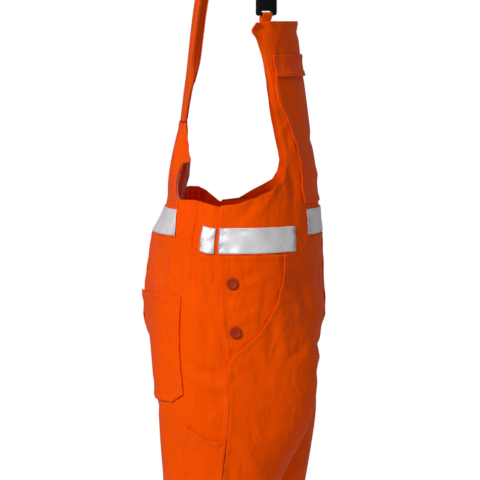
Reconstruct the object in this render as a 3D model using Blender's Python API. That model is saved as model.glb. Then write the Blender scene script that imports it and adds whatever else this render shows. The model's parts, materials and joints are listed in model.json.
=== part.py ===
"""Hi-vis bib trousers in their worn, hollow form, hanging from the wearer's shoulders.

Metres, +Z up. The origin is the middle of the shoulders, where the straps are held. The wearer
faces -Y, so the wearer's right side is at -X.

A place on the cloth is given by a side of the body, a turn and a height. The turn is -1 at the
centre back, 0 at the side and 1 at the centre front, and below the fork -1 and 1 are the inseam.
A girth runs right round: -1 to 1 is the right side, and past 1 or -1 it goes on to the left side.
"""

import math

import bpy
import numpy as np

RIGHT, LEFT = -1, 1
SIDES = (("right", RIGHT), ("left", LEFT))

# Cloth
TWILL = 0.0015
TAPE_THICK = 0.0010
POCKET_CLOTH = 0.0013
SEAM_GAP = 0.0003
ON_TOP = 0.0003
OFF_GRID = 0.0006  # more lift for a corner that lies between the rows of the cloth below
CENTRE_GAP = 0.0005  # in turns, half the gap at the centre seams and inseams
QUARTER_GIRTH = 0.30  # length of one turn along the hip

# Heights
BIB_TOP = -0.126
FORK_FRONT = -0.670
FORK_BACK = -0.690
CROTCH = -0.790
HEM = -1.570
LEG_BLEND_TOP, LEG_BLEND_BOTTOM = -0.620, -0.860
FORK_SPREAD = 0.50  # the turn from which the cloth follows the curve of the fork seam

# Waist seam and reflective tape
WAIST_SIDE, WAIST_CENTRE = -0.556, -0.528
TAPE_WIDTH = 0.047
TAPE_ABOVE_SEAM = 0.003
SIDE_TAPE_FRONT_END = 0.475
FRONT_TAPE_END = 0.62
HIP_TAPE_BACK_END = -0.26

# Waist seam: low along the sides, higher across the front and the back
WAIST_COLUMNS = ("turn", "height")
WAIST = (
    (-1.0000, WAIST_CENTRE),
    (-0.4867, WAIST_CENTRE),
    (-0.4000, -0.536),
    (-0.3084, -0.548),
    (-0.2168, WAIST_SIDE),
    (SIDE_TAPE_FRONT_END, WAIST_SIDE),
    ((SIDE_TAPE_FRONT_END + FRONT_TAPE_END) / 2, (WAIST_SIDE + WAIST_CENTRE) / 2),
    (FRONT_TAPE_END, WAIST_CENTRE),
    (1.0000, WAIST_CENTRE),
)

# Sections of the worn form: half width at the side, reach to the front and to the back
SECTION_COLUMNS = ("height", "side", "front", "back")
SECTIONS = (
    (-0.100, 0.128, 0.117, 0.098),
    (-0.130, 0.136, 0.120, 0.099),
    (-0.200, 0.146, 0.1275, 0.101),
    (-0.260, 0.153, 0.1320, 0.1025),
    (-0.320, 0.159, 0.1400, 0.1050),
    (-0.360, 0.163, 0.1470, 0.1138),
    (-0.400, 0.168, 0.1540, 0.1228),
    (-0.440, 0.173, 0.1580, 0.1290),
    (-0.465, 0.178, 0.1605, 0.1290),
    (-0.491, 0.183, 0.1635, 0.1365),
    (-0.526, 0.189, 0.1670, 0.1560),
    (-0.574, 0.196, 0.1680, 0.1625),
    (-0.622, 0.201, 0.1700, 0.1700),
    (-0.670, 0.205, 0.1730, 0.1730),
    (-0.708, 0.206, 0.1750, 0.1720),
    (-0.747, 0.207, 0.1745, 0.1680),
    (-0.790, 0.207, 0.1635, 0.1590),
    (-0.830, 0.206, 0.1600, 0.1485),
    (-0.872, 0.2055, 0.1570, 0.1380),
    (-0.902, 0.205, 0.1500, 0.1305),
    (-0.949, 0.2035, 0.1340, 0.1175),
    (-0.978, 0.203, 0.1235, 0.1090),
    (-1.007, 0.202, 0.1145, 0.1035),
    (-1.060, 0.200, 0.1000, 0.0980),
    (-1.130, 0.197, 0.0955, 0.0970),
    (-1.210, 0.193, 0.0920, 0.0955),
    (-1.350, 0.190, 0.0900, 0.0920),
    (-1.570, 0.190, 0.0840, 0.0880),
)

# One leg: distance of its inner face from the centre plane, and how far it stands back
LEG_COLUMNS = ("height", "inner", "stride")
LEG = (
    (-0.790, 0.004, 0.000),
    (-0.840, 0.005, 0.003),
    (-0.902, 0.006, 0.013),
    (-0.949, 0.008, 0.0225),
    (-0.978, 0.009, 0.028),
    (-1.007, 0.011, 0.032),
    (-1.060, 0.013, 0.036),
    (-1.210, 0.019, 0.035),
    (-1.570, 0.031, 0.026),
)

# Main folds: a soft ridge (positive) or trough from one place to another
FOLD_COLUMNS = ("side", "turn", "height", "to turn", "to height", "width", "depth")
FOLDS = (
    (RIGHT, 0.45, -0.600, 0.53, -0.685, 0.017, -0.0055),
    (RIGHT, 0.53, -0.685, 0.68, -0.745, 0.022, -0.0050),
    (RIGHT, 0.50, -0.628, 0.85, -0.614, 0.016, -0.0035),
    (RIGHT, 0.60, -0.652, 0.90, -0.672, 0.022, 0.0035),
    (RIGHT, -0.16, -0.762, -0.03, -0.772, 0.014, 0.0035),
    (RIGHT, -0.45, -0.570, -0.46, -0.625, 0.016, -0.0040),
    (RIGHT, -0.58, -0.570, -0.60, -0.605, 0.015, -0.0035),
    (RIGHT, -0.27, -0.570, -0.29, -0.615, 0.015, -0.0035),
    (RIGHT, 0.18, -0.860, 0.55, -0.960, 0.030, -0.0040),
    (RIGHT, -0.10, -0.880, 0.10, -1.060, 0.026, 0.0030),
    (RIGHT, -0.55, -0.880, -0.20, -0.990, 0.030, -0.0040),
    (RIGHT, -0.60, -1.120, -0.10, -1.180, 0.026, -0.0045),
    (RIGHT, -0.50, -1.220, 0.05, -1.270, 0.028, -0.0050),
    (RIGHT, 0.20, -1.140, 0.70, -1.210, 0.028, -0.0035),
    (RIGHT, 0.05, -1.380, 0.55, -1.450, 0.030, -0.0045),
    (RIGHT, -0.70, -1.390, -0.10, -1.460, 0.030, -0.0045),
    (LEFT, 0.48, -0.606, 0.57, -0.690, 0.017, -0.0050),
    (LEFT, 0.57, -0.690, 0.72, -0.750, 0.022, -0.0055),
    (LEFT, 0.55, -0.655, 0.88, -0.668, 0.022, 0.0030),
    (LEFT, -0.15, -0.768, -0.02, -0.775, 0.014, 0.0030),
    (LEFT, -0.43, -0.570, -0.42, -0.635, 0.016, -0.0040),
    (LEFT, -0.57, -0.570, -0.56, -0.600, 0.015, -0.0035),
    (LEFT, -0.29, -0.570, -0.30, -0.605, 0.015, -0.0030),
    (LEFT, 0.15, -0.840, 0.50, -0.930, 0.030, -0.0045),
    (LEFT, -0.12, -0.900, 0.06, -1.040, 0.026, 0.0030),
    (LEFT, -0.58, -0.860, -0.22, -0.960, 0.030, -0.0040),
    (LEFT, -0.55, -1.140, -0.05, -1.190, 0.026, -0.0050),
    (LEFT, -0.48, -1.240, 0.10, -1.300, 0.028, -0.0045),
    (LEFT, 0.25, -1.160, 0.72, -1.220, 0.028, -0.0040),
    (LEFT, 0.00, -1.400, 0.50, -1.460, 0.030, -0.0050),
    (LEFT, -0.72, -1.370, -0.15, -1.440, 0.030, -0.0040),
)

# Side opening: the edge that lies on top, then the side seam below it
OPENING_COLUMNS = ("height", "turn")
OPENING = (
    (-0.460, -0.124),
    (-0.556, -0.124),
    (-0.620, -0.098),
    (-0.693, -0.086),
    (-0.730, -0.062),
    (-0.758, -0.047),
    (-0.790, -0.040),
    (-0.900, -0.010),
    (-1.000, 0.030),
    (-1.570, 0.030),
)
OPENING_END = -0.762
OPENING_LAP = 0.10
LAP_DIP = -0.0040
LAP_FADE = -0.815

# Mouth of the hip pocket, which is the edge of the trouser front
MOUTH_COLUMNS = ("height", "turn")
MOUTH = (
    (-0.530, 0.367),
    (-0.574, 0.367),
    (-0.601, 0.358),
    (-0.638, 0.311),
    (-0.662, 0.266),
    (-0.680, 0.225),
    (-0.699, 0.169),
    (-0.7155, 0.112),
    (-0.730, 0.040),
    (-0.745, -0.018),
    (-0.758, -0.047),
)
MOUTH_LIFT = 0.0017
MOUTH_DIPS = (-0.0010, -0.0016)
FACING_END = -0.755
FACING_LAP = 0.072

# Rows of the trouser panels under the waist seam
TROUSER_ROWS = (
    -0.585, -0.610, -0.636, -0.662, -0.686, -0.708, -0.730, -0.745, -0.758,
    -0.774, -0.786, CROTCH, -0.812, -0.832, -0.868, -0.902, -0.940, -0.978, -1.020,
    -1.070, -1.124, -1.180, -1.240, -1.310, -1.390, -1.470, -1.545, HEM,
)  # fmt: skip
BACK_POCKET_TOP, BACK_POCKET_BOTTOM = -0.636, -0.832
RULE_POCKET_BOTTOM = -1.124

# Near and far edge of the back pocket; the near one runs on as the rule pocket's back edge
BACK_POCKET_COLUMNS = ("height", "near", "far")
BACK_POCKET = (
    (-0.530, -0.40, -0.92),
    (-0.640, -0.39, -0.92),
    (-0.820, -0.37, -0.89),
    (-0.880, -0.375, -0.88),
    (-1.570, -0.375, -0.88),
)

# Bib front, row by row: its edge on the right side and on the left, which sags more; the height of
# the row at the centre, and the turn of the pocket's edge. The edge runs down the armhole and then
# back along the top of the side wing.
BIB_COLUMNS = ("right turn", "right height", "left turn", "left height", "centre height", "pocket turn")
BIB = (
    (0.216, -0.130, 0.216, -0.130, BIB_TOP, 0.360),
    (0.200, -0.150, 0.204, -0.151, -0.146, 0.362),
    (0.250, -0.178, 0.248, -0.178, -0.168, 0.365),
    (0.284, -0.197, 0.282, -0.198, -0.189, 0.370),
    (0.325, -0.236, 0.318, -0.237, -0.2296, 0.378),
    (0.345, -0.272, 0.336, -0.274, -0.270, 0.390),
    (0.400, -0.318, 0.352, -0.320, -0.316, 0.487),
    (0.436, -0.360, 0.378, -0.362, -0.356, 0.545),
    (0.441, -0.393, 0.394, -0.398, -0.388, 0.564),
    (0.412, -0.413, 0.367, -0.421, -0.408, 0.570),
    (0.345, -0.427, 0.311, -0.437, -0.424, 0.575),
    (0.273, -0.4394, 0.232, -0.448, -0.436, 0.580),
    (0.150, -0.451, 0.139, -0.460, -0.447, 0.585),
    (0.020, -0.462, 0.030, -0.477, -0.457, 0.592),
    (-0.124, -0.4655, -0.124, -0.4805, -0.467, 0.602),
)
BIB_EDGE_END = -0.124
WING_COLUMNS, POCKET_COLUMNS = 6, 5
FLAP_TOP_ROW, FLAP_BOTTOM_ROW, POCKET_TOP_ROW = 3, 4, 3.8
TAPE_TOP_ROW = len(BIB)

# Back panel: its edges at each height; they step in under the corners that stand out
BACK_BIB_COLUMNS = ("height", "right turn", "left turn")
BACK_BIB = (
    (-0.316, -0.664, -0.700),
    (-0.342, -0.589, -0.640),
    (-0.366, -0.530, -0.590),
    (-0.387, -0.472, -0.535),
    (-0.392, -0.600, -0.520),
    (-0.408, -0.632, -0.508),
    (-0.430, -0.648, -0.502),
    (-0.451, -0.640, -0.548),
    (-0.459, -0.600, -0.565),
)
# Turns of both edges at the top, middle and bottom of the tape and at the waist seam
BACK_BIB_TAPE = ((-0.600, -0.575), (-0.555, -0.545), (-0.500, -0.500), (-0.490, -0.490))
BACK_BIB_COLUMN_COUNT = 5

# Elasticated back waist: height of its top edge on each side, and its gathers
WAIST_TOP_COLUMNS = ("turn", "right height", "left height")
WAIST_TOP = (
    (-0.600, -0.4590, -0.4500),
    (-0.500, -0.4580, -0.4490),
    (-0.390, -0.4570, -0.4510),
    (-0.300, -0.4600, -0.4590),
    (-0.240, -0.4630, -0.4680),
    (-0.150, -0.4670, -0.4820),
    (0.100, -0.4700, -0.4850),
)
GATHERS = 6
GATHER_STEPS = 4
GATHER_DEPTH = 0.0016
WAIST_EDGE_GAP = 0.002
WAIST_LAP_END = -0.02
WAIST_LAP_DIP = -0.0038

# Shoulder straps: centre line of the right one, and how far its width turns from straight across
STRAP_COLUMNS = ("x", "y", "z", "turn in degrees")
STRAP = (
    (-0.0560, 0.1000, -0.3152, 14),
    (-0.0580, 0.0940, -0.2700, 18),
    (-0.0640, 0.0850, -0.2200, 25),
    (-0.0700, 0.0775, -0.1700, 32),
    (-0.0760, 0.0705, -0.1200, 36),
    (-0.0815, 0.0630, -0.0700, 32),
    (-0.0860, 0.0480, -0.0280, 18),
    (-0.0890, 0.0250, -0.0050, 4),
    (-0.0910, 0.0000, 0.0012, -4),
    (-0.0960, -0.0255, -0.0060, -20),
    (-0.1045, -0.0440, -0.0220, -38),
    (-0.1120, -0.0555, -0.0410, -52),
    (-0.1163, -0.0603, -0.0603, -56),
)
STRAP_WIDTH = 0.036
STRAP_THICK = 0.0028
STRAP_CURL = 0.0035
STRAP_STATIONS = 22

# Cloth loop on the bib top and the side-release buckle over it
TAB_TURN = 0.339
TAB_HALF_TURN = 0.057
TAB_HALF_WIDTH = 0.011
TAB_CLEAR = 0.0011
TAB_SEWN = 0.021
TAB_FOLD_GAP = 0.0008
BUCKLE_WIDTH = 0.040
BUCKLE_THICK = 0.0085
BUCKLE_BAR_HEIGHT = -0.1138
BUCKLE_BAR_RADIUS = 0.0018
SOCKET_LENGTH = 0.034
PLUG_LENGTH = 0.019
PRONG_WIDTH = 0.0060
BAR_CLEAR = 0.0012

# Buttons of the side opening
BUTTON_RADIUS = 0.011
BUTTON_PLACES = (("upper", -0.014, -0.607), ("lower", 0.010, -0.697))
BUTTON_STEPS = 16
BUTTON_PROFILE_COLUMNS = ("radius", "height")
BUTTON_PROFILE = ((0.0110, 0.0000), (0.0110, 0.0018), (0.0098, 0.0030), (0.0072, 0.0024), (0.0030, 0.0022))
BUTTON_CLEAR = 0.0007

EDGE_BAND_THICK = 0.0008
EDGE_BAND_COLUMNS = 0.75

ORANGE = ((0.85, 0.09, 0.004, 1.0), 0.85)
SILVER = ((0.80, 0.79, 0.80, 1.0), 0.35)
BLACK = ((0.012, 0.012, 0.013, 1.0), 0.45)
BROWN = ((0.42, 0.04, 0.010, 1.0), 0.40)
GREY = ((0.35, 0.31, 0.34, 1.0), 0.80)


# ---- curves through the tables ----


def curve(table, columns, name):
    """A smooth curve through one column of a table, read by its first column."""
    rows = sorted(table)
    at = np.array([row[0] for row in rows])
    value = np.array([row[columns.index(name)] for row in rows])
    slope = np.gradient(value, at)

    def read(x):
        x = min(max(x, at[0]), at[-1])
        k = min(max(int(np.searchsorted(at, x)) - 1, 0), len(at) - 2)
        span = at[k + 1] - at[k]
        t = (x - at[k]) / span
        start = (1 + 2 * t) * (1 - t) ** 2 * value[k] + t * (1 - t) ** 2 * span * slope[k]
        end = t * t * (3 - 2 * t) * value[k + 1] + t * t * (t - 1) * span * slope[k + 1]
        return float(start + end)

    return read


def straight(table, columns, name):
    """Straight lines through one column of a table, read by its first column."""
    rows = sorted(table)
    at = [row[0] for row in rows]
    value = [row[columns.index(name)] for row in rows]
    return lambda x: float(np.interp(x, at, value))


side_reach = curve(SECTIONS, SECTION_COLUMNS, "side")
front_reach = curve(SECTIONS, SECTION_COLUMNS, "front")
back_reach = curve(SECTIONS, SECTION_COLUMNS, "back")
leg_inner = curve(LEG, LEG_COLUMNS, "inner")
leg_stride = curve(LEG, LEG_COLUMNS, "stride")
waist_seam = straight(WAIST, WAIST_COLUMNS, "height")
opening_turn = straight(OPENING, OPENING_COLUMNS, "turn")
mouth_turn = straight(MOUTH, MOUTH_COLUMNS, "turn")
pocket_near = straight(BACK_POCKET, BACK_POCKET_COLUMNS, "near")
pocket_far = straight(BACK_POCKET, BACK_POCKET_COLUMNS, "far")
waist_top = {
    RIGHT: straight(WAIST_TOP, WAIST_TOP_COLUMNS, "right height"),
    LEFT: straight(WAIST_TOP, WAIST_TOP_COLUMNS, "left height"),
}


def ease(x, start, end):
    """0 before start, 1 after end, and smooth between them."""
    t = min(max((x - start) / (end - start), 0.0), 1.0)
    return t * t * (3 - 2 * t)


def mix(a, b, share):
    return a + (b - a) * share


# ---- the worn form ----


def leg_share(turn, height):
    """0 where the cloth follows the hips, 1 where it follows one leg."""
    along = ease(-height, -LEG_BLEND_TOP, -LEG_BLEND_BOTTOM)
    fork_top = FORK_FRONT if turn > 0 else FORK_BACK
    down = min(max((fork_top - height) / (fork_top - CROTCH), 0.0), 1.0)
    at_fork = 1 - math.sqrt(1 - down * down)
    return mix(along, at_fork, ease(abs(turn), FORK_SPREAD, 1.0))


def form(side, turn, height):
    """A point of the smooth form under the folds."""
    wide = side_reach(height)
    reach = front_reach(height) if turn > 0 else back_reach(height)
    across = abs(turn)
    hip_angle = across * math.pi / 2
    x = wide * math.cos(hip_angle)
    y = reach * math.sin(hip_angle)
    share = leg_share(turn, height)
    if share > 0:
        inner = leg_inner(height)
        leg_angle = math.pi / 2 * (across + across**3)
        leg_x = (wide + inner) / 2 + (wide - inner) / 2 * math.cos(leg_angle)
        x = mix(x, leg_x, share)
        y = mix(y, reach * math.sin(leg_angle), share)
    y = -y if turn > 0 else y
    return np.array((side * x, y - side * leg_stride(height), height))


def outward(side, turn, height):
    """The direction square to the form."""
    step = 0.002
    around = form(side, turn + step, height) - form(side, turn - step, height)
    up = form(side, turn, height + step) - form(side, turn, height - step)
    square = -side * np.cross(around, up)
    return square / np.linalg.norm(square)


def fold(side, turn, height):
    """How far the main folds move the cloth out."""
    place = np.array((turn * QUARTER_GIRTH, height))
    total = 0.0
    for where, turn_a, height_a, turn_b, height_b, width, depth in FOLDS:
        if where != side:
            continue
        start = np.array((turn_a * QUARTER_GIRTH, height_a))
        run = np.array((turn_b * QUARTER_GIRTH, height_b)) - start
        share = min(max(float((place - start) @ run / (run @ run)), 0.0), 1.0)
        away = np.linalg.norm(place - start - share * run)
        total += depth * math.exp(-((away / width) ** 2))
    return total


def from_girth(girth):
    """The side and the turn of a girth that may run past the centre front or back."""
    if girth > 1:
        return LEFT, 2 - girth
    if girth < -1:
        return LEFT, -2 - girth
    return RIGHT, girth


# ---- grids of cloth ----


class Panel:
    """A grid of points on the outer face of a piece, with the direction outwards at each.

    In the row along the waist seam the direction is level, so that the pieces meet edge to edge.
    """

    def __init__(self, side, turns, heights, lifts=None, seam_row=None):
        turns, heights = np.array(turns), np.array(heights)
        lifts = np.zeros(turns.shape) if lifts is None else np.array(lifts)
        self.points = np.zeros(turns.shape + (3,))
        self.square = np.zeros(turns.shape + (3,))
        for k in np.ndindex(turns.shape):
            where, turn = (side, turns[k]) if side else from_girth(turns[k])
            self.square[k] = outward(where, turn, heights[k])
            if seam_row is not None and k[0] == seam_row % turns.shape[0]:
                self.square[k][2] = 0.0
                self.square[k] /= np.linalg.norm(self.square[k])
            out = fold(where, turn, heights[k]) + lifts[k]
            self.points[k] = form(where, turn, heights[k]) + out * self.square[k]

    def read(self, grid, row, column):
        """A place between the grid's own rows and columns."""
        i = min(int(row), grid.shape[0] - 2)
        j = min(int(column), grid.shape[1] - 2)
        upper = mix(grid[i, j], grid[i, j + 1], column - j)
        lower = mix(grid[i + 1, j], grid[i + 1, j + 1], column - j)
        return mix(upper, lower, row - i)

    def part(self, rows, columns):
        """Points and directions of a part; rows may differ from column to column."""
        rows = np.array(rows, float)
        if rows.ndim == 1:
            rows = np.repeat(rows[:, None], len(columns), axis=1)
        points = np.zeros(rows.shape + (3,))
        square = np.zeros(rows.shape + (3,))
        for i, j in np.ndindex(rows.shape):
            points[i, j] = self.read(self.points, rows[i, j], columns[j])
            square[i, j] = self.read(self.square, rows[i, j], columns[j])
        return points, square


def lines(*keys):
    """Places from key to key: lines(0, (4, 1.0), (2, 3.0)) has 4 steps to 1 and then 2 to 3."""
    found = [keys[0]]
    for steps, end in keys[1:]:
        start = found[-1]
        found += [mix(start, end, (k + 1) / steps) for k in range(steps)]
    return found


# ---- solids ----


def finish(outer_points, faces, name, finish_of):
    """One object with its own material from points and faces."""
    mesh = bpy.data.meshes.new(name)
    mesh.from_pydata([tuple(float(c) for c in p) for p in outer_points], [], faces)
    mesh.update()
    colour, roughness = finish_of
    material = bpy.data.materials.new(name)
    material.use_nodes = True
    shader = material.node_tree.nodes["Principled BSDF"]
    shader.inputs["Base Color"].default_value = colour
    shader.inputs["Roughness"].default_value = roughness
    mesh.materials.append(material)
    mesh.shade_smooth()
    mesh.set_sharp_from_angle(angle=math.radians(50))
    made = bpy.data.objects.new(name, mesh)
    bpy.context.scene.collection.objects.link(made)
    return made


def wall(name, outer, inner, finish_of):
    """A closed wall of cloth between two grids of the same size."""
    rows, columns = outer.shape[:2]
    count = rows * columns
    points = np.concatenate([outer.reshape(-1, 3), inner.reshape(-1, 3)])
    down = outer[1, 0] - outer[0, 0]
    across = outer[0, 1] - outer[0, 0]
    forward = float(np.cross(down, across) @ (outer[0, 0] - inner[0, 0])) > 0

    faces = []

    def quad(a, b, c, d):
        corners = (a, b, c, d) if forward else (a, d, c, b)
        if forward:
            faces.extend([(a, b, c), (a, c, d)])
        else:
            faces.extend([(corners[0], corners[2], corners[3]), (corners[0], corners[1], corners[2])])

    for i in range(rows - 1):
        for j in range(columns - 1):
            a = i * columns + j
            b, c, d = a + columns, a + columns + 1, a + 1
            quad(a, b, c, d)
            quad(a + count, d + count, c + count, b + count)
    rim = [i * columns for i in range(rows)]
    rim += [(rows - 1) * columns + j for j in range(1, columns)]
    rim += [i * columns + columns - 1 for i in range(rows - 2, -1, -1)]
    rim += list(range(columns - 2, 0, -1))
    for k, a in enumerate(rim):
        b = rim[(k + 1) % len(rim)]
        quad(a, a + count, b + count, b)
    return finish(points, faces, name, finish_of)


def sewn(name, panel, finish_of=ORANGE, cloth=TWILL):
    """A panel as a wall whose outer face is the panel's grid."""
    return wall(name, panel.points, panel.points - cloth * panel.square, finish_of)


def laid_on(name, panel, rows, columns, finish_of=ORANGE, cloth=TAPE_THICK, lift=ON_TOP, puff=None):
    """A piece lying on a panel, made from the panel's own points moved out."""
    points, square = panel.part(rows, columns)
    puff = 0.0 if puff is None else np.array(puff)[:, :, None]
    inner = points + (lift + puff) * square
    return wall(name, inner + cloth * square, inner, finish_of)


def laid_in(name, panel, rows, columns, finish_of, cloth):
    """A piece lying against the inner face of a panel of twill."""
    points, square = panel.part(rows, columns)
    outer = points - (TWILL + ON_TOP) * square
    return wall(name, outer, outer - cloth * square, finish_of)


# ---- trousers ----


def waist_row(turns, above=0.0):
    return [waist_seam(turn) + above for turn in turns]


def trouser_grid(turn_lines, last_row=HEM):
    """Turns and heights of a trouser panel; its first row follows the waist seam."""
    heights = [row for row in TROUSER_ROWS if row >= last_row - 1e-9]
    first = turn_lines(WAIST_SIDE)
    turns = [first] + [turn_lines(height) for height in heights]
    levels = [waist_row(first, -SEAM_GAP / 2)] + [[height] * len(first) for height in heights]
    return turns, levels


def front_shares():
    """Where the columns stand between the pocket mouth and the centre; three meet the waist seam's bends."""
    first, last = mouth_turn(WAIST_SIDE), 1 - CENTRE_GAP
    bends = [(row[0] - first) / (last - first) for row in WAIST if SIDE_TAPE_FRONT_END <= row[0] <= FRONT_TAPE_END]
    return lines(0.0, (2, bends[0]), *((1, bend) for bend in bends[1:]), (8, 1.0))


def front_lines(height):
    """Columns of the trouser front, from the pocket mouth or side seam to the centre."""
    edge = mouth_turn(height) if height > MOUTH[-1][0] else opening_turn(height)
    return [mix(edge, 1 - CENTRE_GAP, share) for share in front_shares()]


def back_lines(height):
    """Columns of the trouser back, from the underlap or side seam to the centre."""
    seam = opening_turn(height)
    lap = OPENING_LAP * (1 - ease(-height, -OPENING_END + 0.003, -OPENING_END + 0.012))
    edge = seam + (lap if lap > 0.001 else -0.001)
    start = mix(seam - 0.0012, seam - 0.06, ease(-height, -OPENING_END, -LAP_FADE))
    return lines(edge, (1, start), (3, pocket_near(height)), (6, pocket_far(height)), (2, -1 + CENTRE_GAP))


BACK_NEAR_COLUMN, BACK_FAR_COLUMN = 4, 10


def trouser_front(side):
    turns, heights = trouser_grid(front_lines)
    lifts = np.zeros(np.shape(turns))
    for i, row in enumerate(heights):
        kept = 1 - ease(-row[0], -OPENING_END, -LAP_FADE)
        lifts[i, :4] = np.array((1.0, 0.75, 0.35, 0.10)) * MOUTH_LIFT * kept
    return Panel(side, turns, heights, lifts, seam_row=0)


def trouser_back(side):
    turns, heights = trouser_grid(back_lines)
    lifts = np.zeros(np.shape(turns))
    for i, row in enumerate(heights):
        kept = 1 - ease(-row[0], -OPENING_END, -LAP_FADE)
        lifts[i, :3] = np.array((1.0, 1.0, 0.22)) * LAP_DIP * kept
    return Panel(side, turns, heights, lifts, seam_row=0)


def facing_lines(height):
    """Columns of the hip facing, from the side opening to its end under the trouser front."""
    start = opening_turn(height)
    mouth = max(mouth_turn(height), start + 0.02)
    shown = max(mouth - 0.03, start + 0.012)
    return lines(start, (4, shown), (1, mouth), (1, mouth + FACING_LAP))


def hip_facing(side):
    turns, heights = trouser_grid(facing_lines, FACING_END - 0.003)
    turns, heights = turns[:-1], heights[:-1]
    turns.append(facing_lines(FACING_END))
    heights.append([FACING_END] * len(turns[0]))
    lifts = np.zeros(np.shape(turns))
    lifts[:, 5:] = MOUTH_DIPS
    lifts[-2:, :5] = MOUTH_DIPS[0]
    return Panel(side, turns, heights, lifts, seam_row=0)


def make_trousers():
    for word, side in SIDES:
        sewn(f"front_leg_{word}", trouser_front(side))
        back = trouser_back(side)
        sewn(f"back_leg_{word}", back)
        facing = hip_facing(side)
        sewn(f"hip_facing_{word}", facing)
        make_buttons(word, side)
        if side == RIGHT:
            make_back_pocket(back)
            make_rule_pocket(back)


def row_of(height):
    """The grid row of a trouser panel at one of its heights."""
    return 1 + TROUSER_ROWS.index(height)


def make_back_pocket(back):
    """Patch pocket: its mouth gapes a little, and its lower corners are cut off."""
    top, bottom = row_of(BACK_POCKET_TOP), row_of(BACK_POCKET_BOTTOM)
    columns = list(range(BACK_NEAR_COLUMN, BACK_FAR_COLUMN + 1))
    rows = np.repeat(np.arange(top, bottom + 1.0)[:, None], len(columns), axis=1)
    rows[-1, 0] = rows[-1, -1] = bottom - 0.85
    puff = np.zeros(rows.shape)
    puff[0, 1:-1] = (0.0015, 0.0035, 0.0050, 0.0045, 0.0020)
    puff[1, 1:-1] = (0.0006, 0.0014, 0.0020, 0.0018, 0.0008)
    puff[-1, [0, -1]] = OFF_GRID
    puff[-1, [1, -2]] = OFF_GRID / 2
    laid_on("back_pocket_right", back, rows, columns, cloth=POCKET_CLOTH, puff=puff)


def make_rule_pocket(back):
    """Long pocket behind the side seam, with a curved mouth that gapes."""
    columns = list(range(BACK_NEAR_COLUMN + 1))
    first, last = row_of(-0.902), row_of(RULE_POCKET_BOTTOM)
    mouth = [first + np.array((-0.14, -0.06, -0.08, -0.42, -0.84)), first + np.array((0.35, 0.40, 0.40, 0.30, 0.0))]
    rows = np.array(mouth + [[row] * len(columns) for row in range(first + 1, last + 1)])
    puff = np.zeros(rows.shape)
    puff[0] = (OFF_GRID, 0.0015, 0.0030, 0.0030, OFF_GRID)
    puff[1] = (OFF_GRID, 0.0010, 0.0015, 0.0015, OFF_GRID)
    laid_on("rule_pocket_right", back, rows, columns, cloth=POCKET_CLOTH, puff=puff)


# ---- bib, waist and tape ----


WING_SHARES = lines(0.0, (4, (SIDE_TAPE_FRONT_END - BIB_EDGE_END) / (FRONT_TAPE_END - BIB_EDGE_END)), (2, 1.0))
ROWS_ABOVE_SEAM = (TAPE_ABOVE_SEAM + TAPE_WIDTH, TAPE_ABOVE_SEAM + TAPE_WIDTH / 2, TAPE_ABOVE_SEAM, SEAM_GAP / 2)


def bib_place(side, row, column):
    """Turn and height of a place on one half of the bib front."""
    if row < TAPE_TOP_ROW:
        found = dict(zip(BIB_COLUMNS, BIB[row]))
        word = "right" if side == RIGHT else "left"
        edge, edge_height = found[f"{word} turn"], found[f"{word} height"]
        centre_height, pocket = found["centre height"], found["pocket turn"]
    else:
        edge, pocket = BIB_EDGE_END, FRONT_TAPE_END
    if column <= WING_COLUMNS:
        turn = mix(edge, pocket, WING_SHARES[column])
    else:
        turn = mix(pocket, 1.0, (column - WING_COLUMNS) / POCKET_COLUMNS)
    if row < TAPE_TOP_ROW:
        return turn, mix(edge_height, centre_height, WING_SHARES[min(column, WING_COLUMNS)])
    return turn, waist_seam(turn) + ROWS_ABOVE_SEAM[row - TAPE_TOP_ROW]


def bib_front():
    """Both halves of the bib front; its top corners curl outwards."""
    half = WING_COLUMNS + POCKET_COLUMNS
    rows = TAPE_TOP_ROW + len(ROWS_ABOVE_SEAM)
    girths = np.zeros((rows, 2 * half + 1))
    heights = np.zeros(girths.shape)
    lifts = np.zeros(girths.shape)
    for i in range(rows):
        for j in range(half + 1):
            girths[i, j], heights[i, j] = bib_place(RIGHT, i, j)
            if j < half:
                turn, heights[i, 2 * half - j] = bib_place(LEFT, i, j)
                girths[i, 2 * half - j] = 2 - turn
    curl = np.array(((0.0085, 0.0016), (0.0035, 0.0008)))
    lifts[:2, :2] = curl
    lifts[:2, -2:] = curl[:, ::-1] * 0.8
    return Panel(None, girths, heights, lifts, seam_row=-1)


def mirrored(columns):
    """The same columns on the left half of the bib front."""
    last = 2 * (WING_COLUMNS + POCKET_COLUMNS)
    return [last - column for column in reversed(columns)]


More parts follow.
